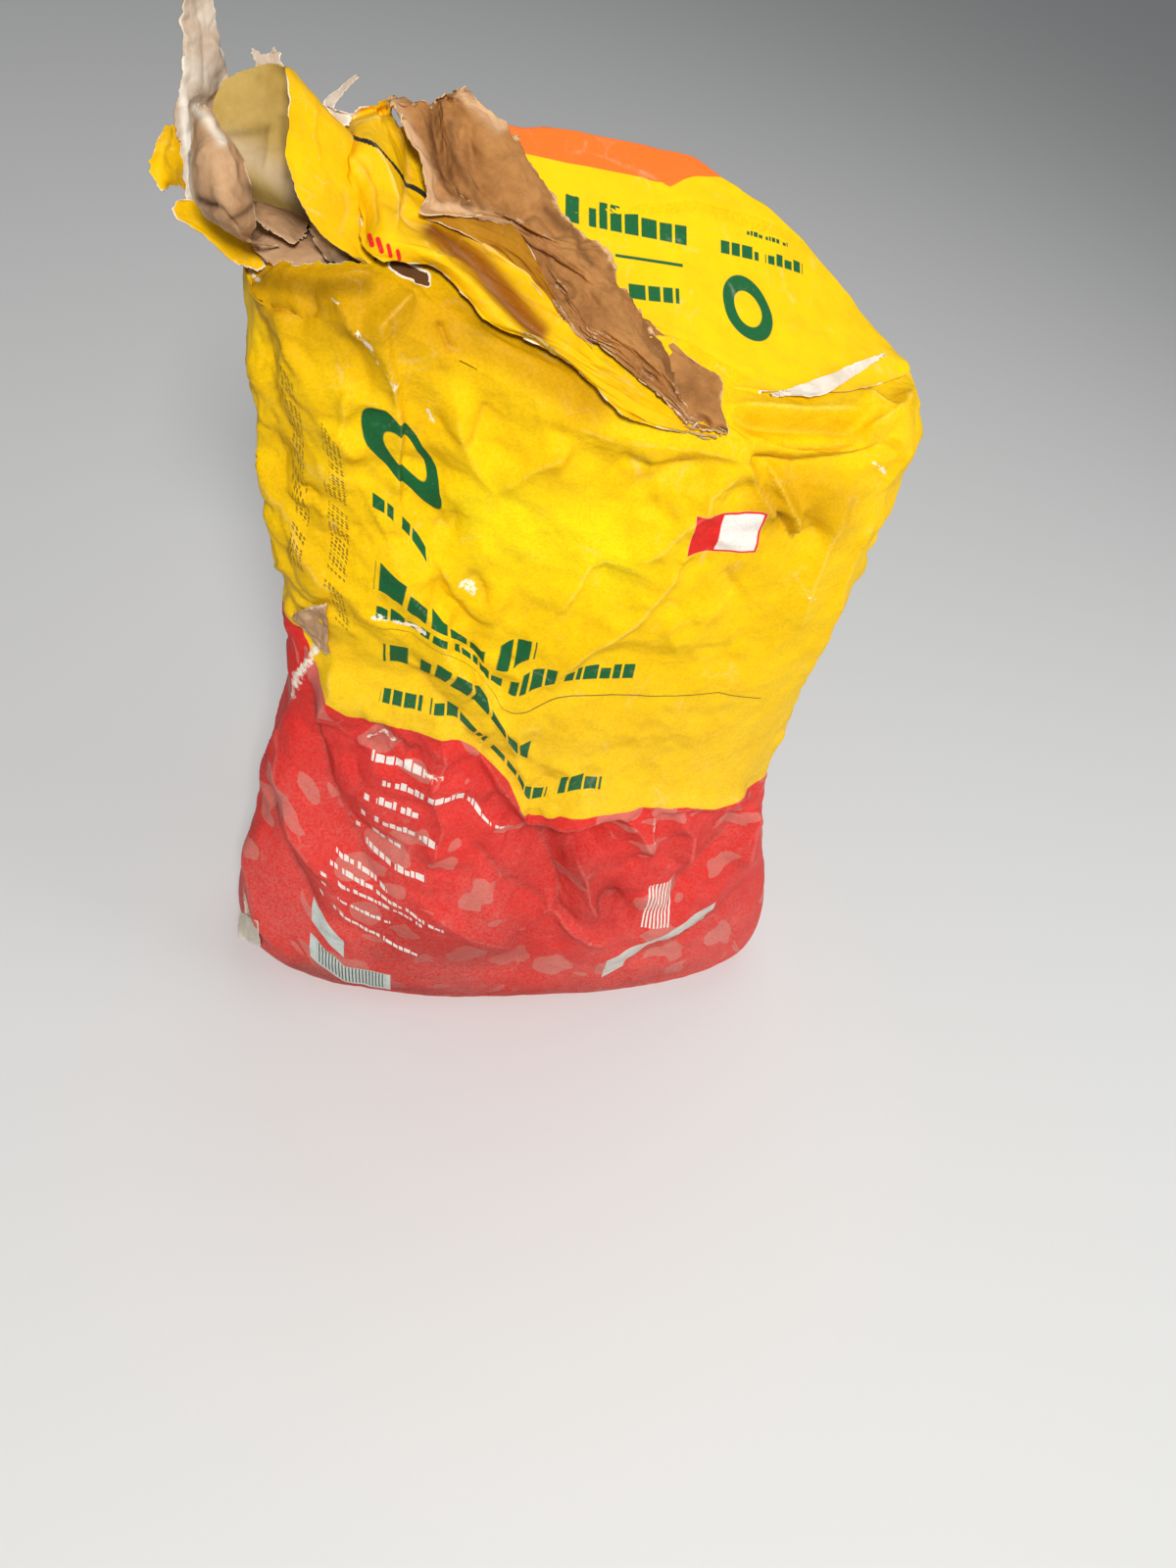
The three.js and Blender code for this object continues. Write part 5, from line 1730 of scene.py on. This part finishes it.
# Sliver and corners
# The end patch lifted along its front and shows a white torn sliver of its own paper. At the pleat and at the
# foot the pasted folds of the sheet have come loose in two small corners.
SLIVER_NET = [
    [(786, 402, 2.0), (812, 394, 2.4), (842, 384, 2.8), (873, 371, 2.8), (903, 360, 2.0)],
    [(787, 403, 1.8), (813, 399, 2.2), (841, 393, 2.6), (873, 378, 2.4), (903, 361, 1.8)],
    [(788, 404, 1.5), (814, 404, 1.5), (840, 403, 1.5), (870, 385, 1.5), (903, 362, 1.5)],
]
GUSSET_NET = [
    [(300, 626, 2.0), (314, 621, 2.4), (332, 617, 1.2)],
    [(304, 636, 3.2), (318, 634, 3.4), (334, 634, 1.4)],
    [(312, 646, 2.6), (323, 647, 2.8), (335, 650, 1.2)],
    [(326, 660, 1.2), (330, 664, 1.4), (336, 668, 0.8)],
]
BASE_CORNER_NET = [
    [(246, 930, 1.0), (252, 934, 1.5), (262, 940, 1.5)],
    [(243, 944, 1.0), (252, 948, 2.0), (264, 954, 1.5)],
    [(243, 957, 0.5), (252, 960, 1.5), (266, 966, 1.0)],
]
FRONT_LIMIT = 0.02
NEAREST_POINTS = 12


def near_wall(net):
    """Points at photo pixels just in front of the wall, by a lift in mm. The depth is the least of the wall's
    nearest points in the picture on its front."""
    net = np.asarray(net, float)
    wall = sack_points[:WALL_ROWS].reshape(-1, 3)
    across, down, depth = to_photo(wall[wall[:, 1] < FRONT_LIMIT])
    flat = net.copy()
    for spot in np.ndindex(net.shape[:-1]):
        gap = (across - net[spot][0]) ** 2 + (down - net[spot][1]) ** 2
        close = np.argsort(gap)[:NEAREST_POINTS]
        flat[spot][2] = depth[close].min() * PER_METRE - net[spot][2]
    return from_photo(flat)


def build_corners():
    """Sliver laid on the end, and the two corners in front of the wall."""
    white_paper = kraft_material("white_paper_back", rgb("E9DFD0"), rgb("CDBBA2"), 0.02, 0.0006,
                                 rgb("EFE9DF"))
    white = [white_paper, white_paper]
    points = net_surface(on_top(net_surface(SLIVER_NET, 9, 13)), 30, 90)
    torn_sheet("patch_sliver", points, 301, white, "end_patch", "patch_paper", 0.0004,
               ("first_row", "last_row"), 0.0002, 9.0)
    points = net_surface(near_wall(GUSSET_NET), 44, 36)
    torn_sheet("gusset_corner", points, 311, [kraft_pale, kraft_pale], "kraft_ply", "kraft_paper", 0.0010,
               ("first_row", "first_column", "last_row"), 0.0010, 6.0)
    points = net_surface(near_wall(BASE_CORNER_NET), 30, 30)
    torn_sheet("base_corner", points, 321, white, "outer_ply", "printed_paper", 0.0006,
               ("first_column", "last_row"), 0.0004, 8.0)


build_corners()


# Yellow ears
# Left of the spear two tongues of the printed outer sheet, torn from the rest along the mouth, stick out over
# the side of the sack.
EAR_NET = [
    [(168, 128, 394), (176, 126, 396), (181, 130, 398)],
    [(158, 148, 389), (170, 146, 390), (185, 144, 396)],
    [(153, 166, 386), (166, 166, 387), (187, 162, 396)],
    [(157, 182, 386), (170, 182, 388), (188, 180, 398)],
    [(166, 196, 388), (172, 190, 391), (190, 192, 401)],
]
LOW_EAR_NET = [
    [(184, 203, 400), (198, 204, 403), (216, 204, 407)],
    [(177, 208, 396), (196, 212, 401), (226, 214, 408)],
    [(181, 221, 395), (202, 224, 400), (236, 226, 409)],
    [(193, 230, 397), (214, 236, 402), (248, 238, 411)],
    [(210, 242, 401), (230, 250, 405), (262, 254, 413)],
    [(232, 262, 406), (246, 270, 408), (270, 276, 414)],
]


def build_ears():
    """Each ear from its net."""
    for name, net, seed in (("upper_ear", EAR_NET, 201), ("lower_ear", LOW_EAR_NET, 211)):
        points = from_photo(net_surface(net, 60, 40))
        torn_sheet(name, points, seed, [shaded_yellow_flap, kraft_back], "outer_ply", "printed_paper", 0.0008,
                   ALL_SIDES, 0.0006, 9.0)


build_ears()


# Dry mix
# The sack was filled with grey cement powder and gravel. What is left fills its lower part as a loose heap,
# held only by the paper round it.
FILL_LEVEL = 0.150
FILL_FOOT = 0.004
LUMP_SIZE = 26.0
LUMP_HEIGHT = 0.004
LUMP_SEED = 5
CAP_RINGS = 16
FOOT_RINGS = 8
SIDE_ROW_STEP = 3
SIDE_COLUMN_STEP = 4
HEAP_RISE = 0.012
HEAP_SLOPE = 0.1
POWDER_DARK = rgb("8E8A82")
POWDER_LIGHT = rgb("A9A59B")
STONE_DARK = rgb("6F6A62")
STONE_LIGHT = rgb("B8AC98")


def mix_material():
    """Grey cement powder with gravel of several sizes and colours."""
    material, tree, position = new_material("dry_concrete_mix")
    shader = tree.nodes["Principled BSDF"]
    stones = node(tree, "TexVoronoi", {"Vector": position, "Scale": 170.0}).outputs
    pick = node(tree, "SeparateXYZ", {0: stones["Color"]}).outputs
    cloud = noise(tree, position, scale=90.0, detail=5.0, rough=0.7)
    body = mix_colour(tree, cloud, POWDER_DARK, POWDER_LIGHT)
    stone = mix_colour(tree, pick["X"], STONE_DARK, STONE_LIGHT)
    shown = times(tree, ramp(tree, stones["Distance"], 0.5, 0.3), ramp(tree, pick["Y"], 0.5, 0.6))
    tree.links.new(mix_colour(tree, shown, body, stone), shader.inputs["Base Color"])
    shader.inputs["Roughness"].default_value = 0.95
    height = calc(tree, "ADD", shown, noise(tree, position, scale=700.0, detail=4.0, rough=0.7))
    bump = node(tree, "Bump", {"Height": height, "Distance": 0.0015})
    tree.links.new(bump.outputs[0], shader.inputs["Normal"])
    return material


def build_fill():
    """Heap of dry mix: the inner sheet up to the fill level, closed above by a lumpy cap that slopes down
    to the right."""
    rows = inner_points[:WALL_ROWS, 0, 2] < FILL_LEVEL
    side = inner_points[:WALL_ROWS][rows][::SIDE_ROW_STEP, ::SIDE_COLUMN_STEP].copy()
    side[..., 2] = np.maximum(side[..., 2], FILL_FOOT)
    middle = side[-1].mean(axis=0)
    k = np.linspace(0, 1, CAP_RINGS)[1:, None, None]
    cap = side[-1][None] * (1 - k) + middle * k
    lumps = facets(cap[..., 0] * PER_METRE, cap[..., 1] * PER_METRE, LUMP_SIZE, LUMP_SEED) * LUMP_HEIGHT
    cap[..., 2] += HEAP_RISE * step(k[..., 0]) + lumps * step(k[..., 0], 0, 0.3) - cap[..., 0] * HEAP_SLOPE
    foot = np.linspace(0, 1, FOOT_RINGS)[:-1, None, None]
    base = side[0].mean(axis=0) * (1 - foot) + side[0][None] * foot
    points = np.concatenate([base, side, cap], axis=0)
    piece = grid_piece("dry_fill", points, wrap=True, materials=[mix_material()])
    join(piece, "dry_mix")


build_fill()


# Floor and light
# A plain pale floor, a pale sky all round and three soft lights, as on an overcast day.
FLOOR_SIZE = 6.0
SKY_COLOUR = (0.93, 0.96, 1.0, 1.0)
SKY_STRENGTH = 0.20
LIGHT_AIM = (0, 0, 0.2)
# Name, place, size in metres and power in watts of each light.
LIGHTS = (
    ("sky_light", (-0.25, -0.90, 1.35), 0.28, 20.0),
    ("right_light", (1.3, -0.5, 0.6), 0.8, 7.5),
    ("rear_light", (0.3, 0.8, 1.4), 1.2, 4.0),
)


def build_stage():
    """Square floor under the sack, the sky, and lights that all face one point of the sack."""
    mesh = bpy.data.meshes.new("floor")
    corners = [(x * FLOOR_SIZE, y * FLOOR_SIZE, 0) for x, y in ((-1, -1), (1, -1), (1, 1), (-1, 1))]
    mesh.from_pydata(corners, [], [(0, 1, 2, 3)])
    floor = bpy.data.objects.new("floor", mesh)
    bpy.context.scene.collection.objects.link(floor)
    material, tree, _ = new_material("floor")
    shader = tree.nodes["Principled BSDF"]
    shader.inputs["Base Color"].default_value = rgb("D8D8D6")
    shader.inputs["Roughness"].default_value = 0.9
    mesh.materials.append(material)
    world = bpy.data.worlds.new("overcast")
    bpy.context.scene.world = world
    world.use_nodes = True
    background = world.node_tree.nodes["Background"]
    background.inputs["Color"].default_value = SKY_COLOUR
    background.inputs["Strength"].default_value = SKY_STRENGTH
    for name, place, size, power in LIGHTS:
        data = bpy.data.lights.new(name, "AREA")
        data.size = size
        data.energy = power
        light = bpy.data.objects.new(name, data)
        bpy.context.scene.collection.objects.link(light)
        away = Matrix.Translation(place).to_translation() - Matrix.Translation(LIGHT_AIM).to_translation()
        light.matrix_world = Matrix.Translation(place) @ away.to_track_quat("Z", "Y").to_matrix().to_4x4()


build_stage()
bpy.context.scene.view_settings.view_transform = "Standard"
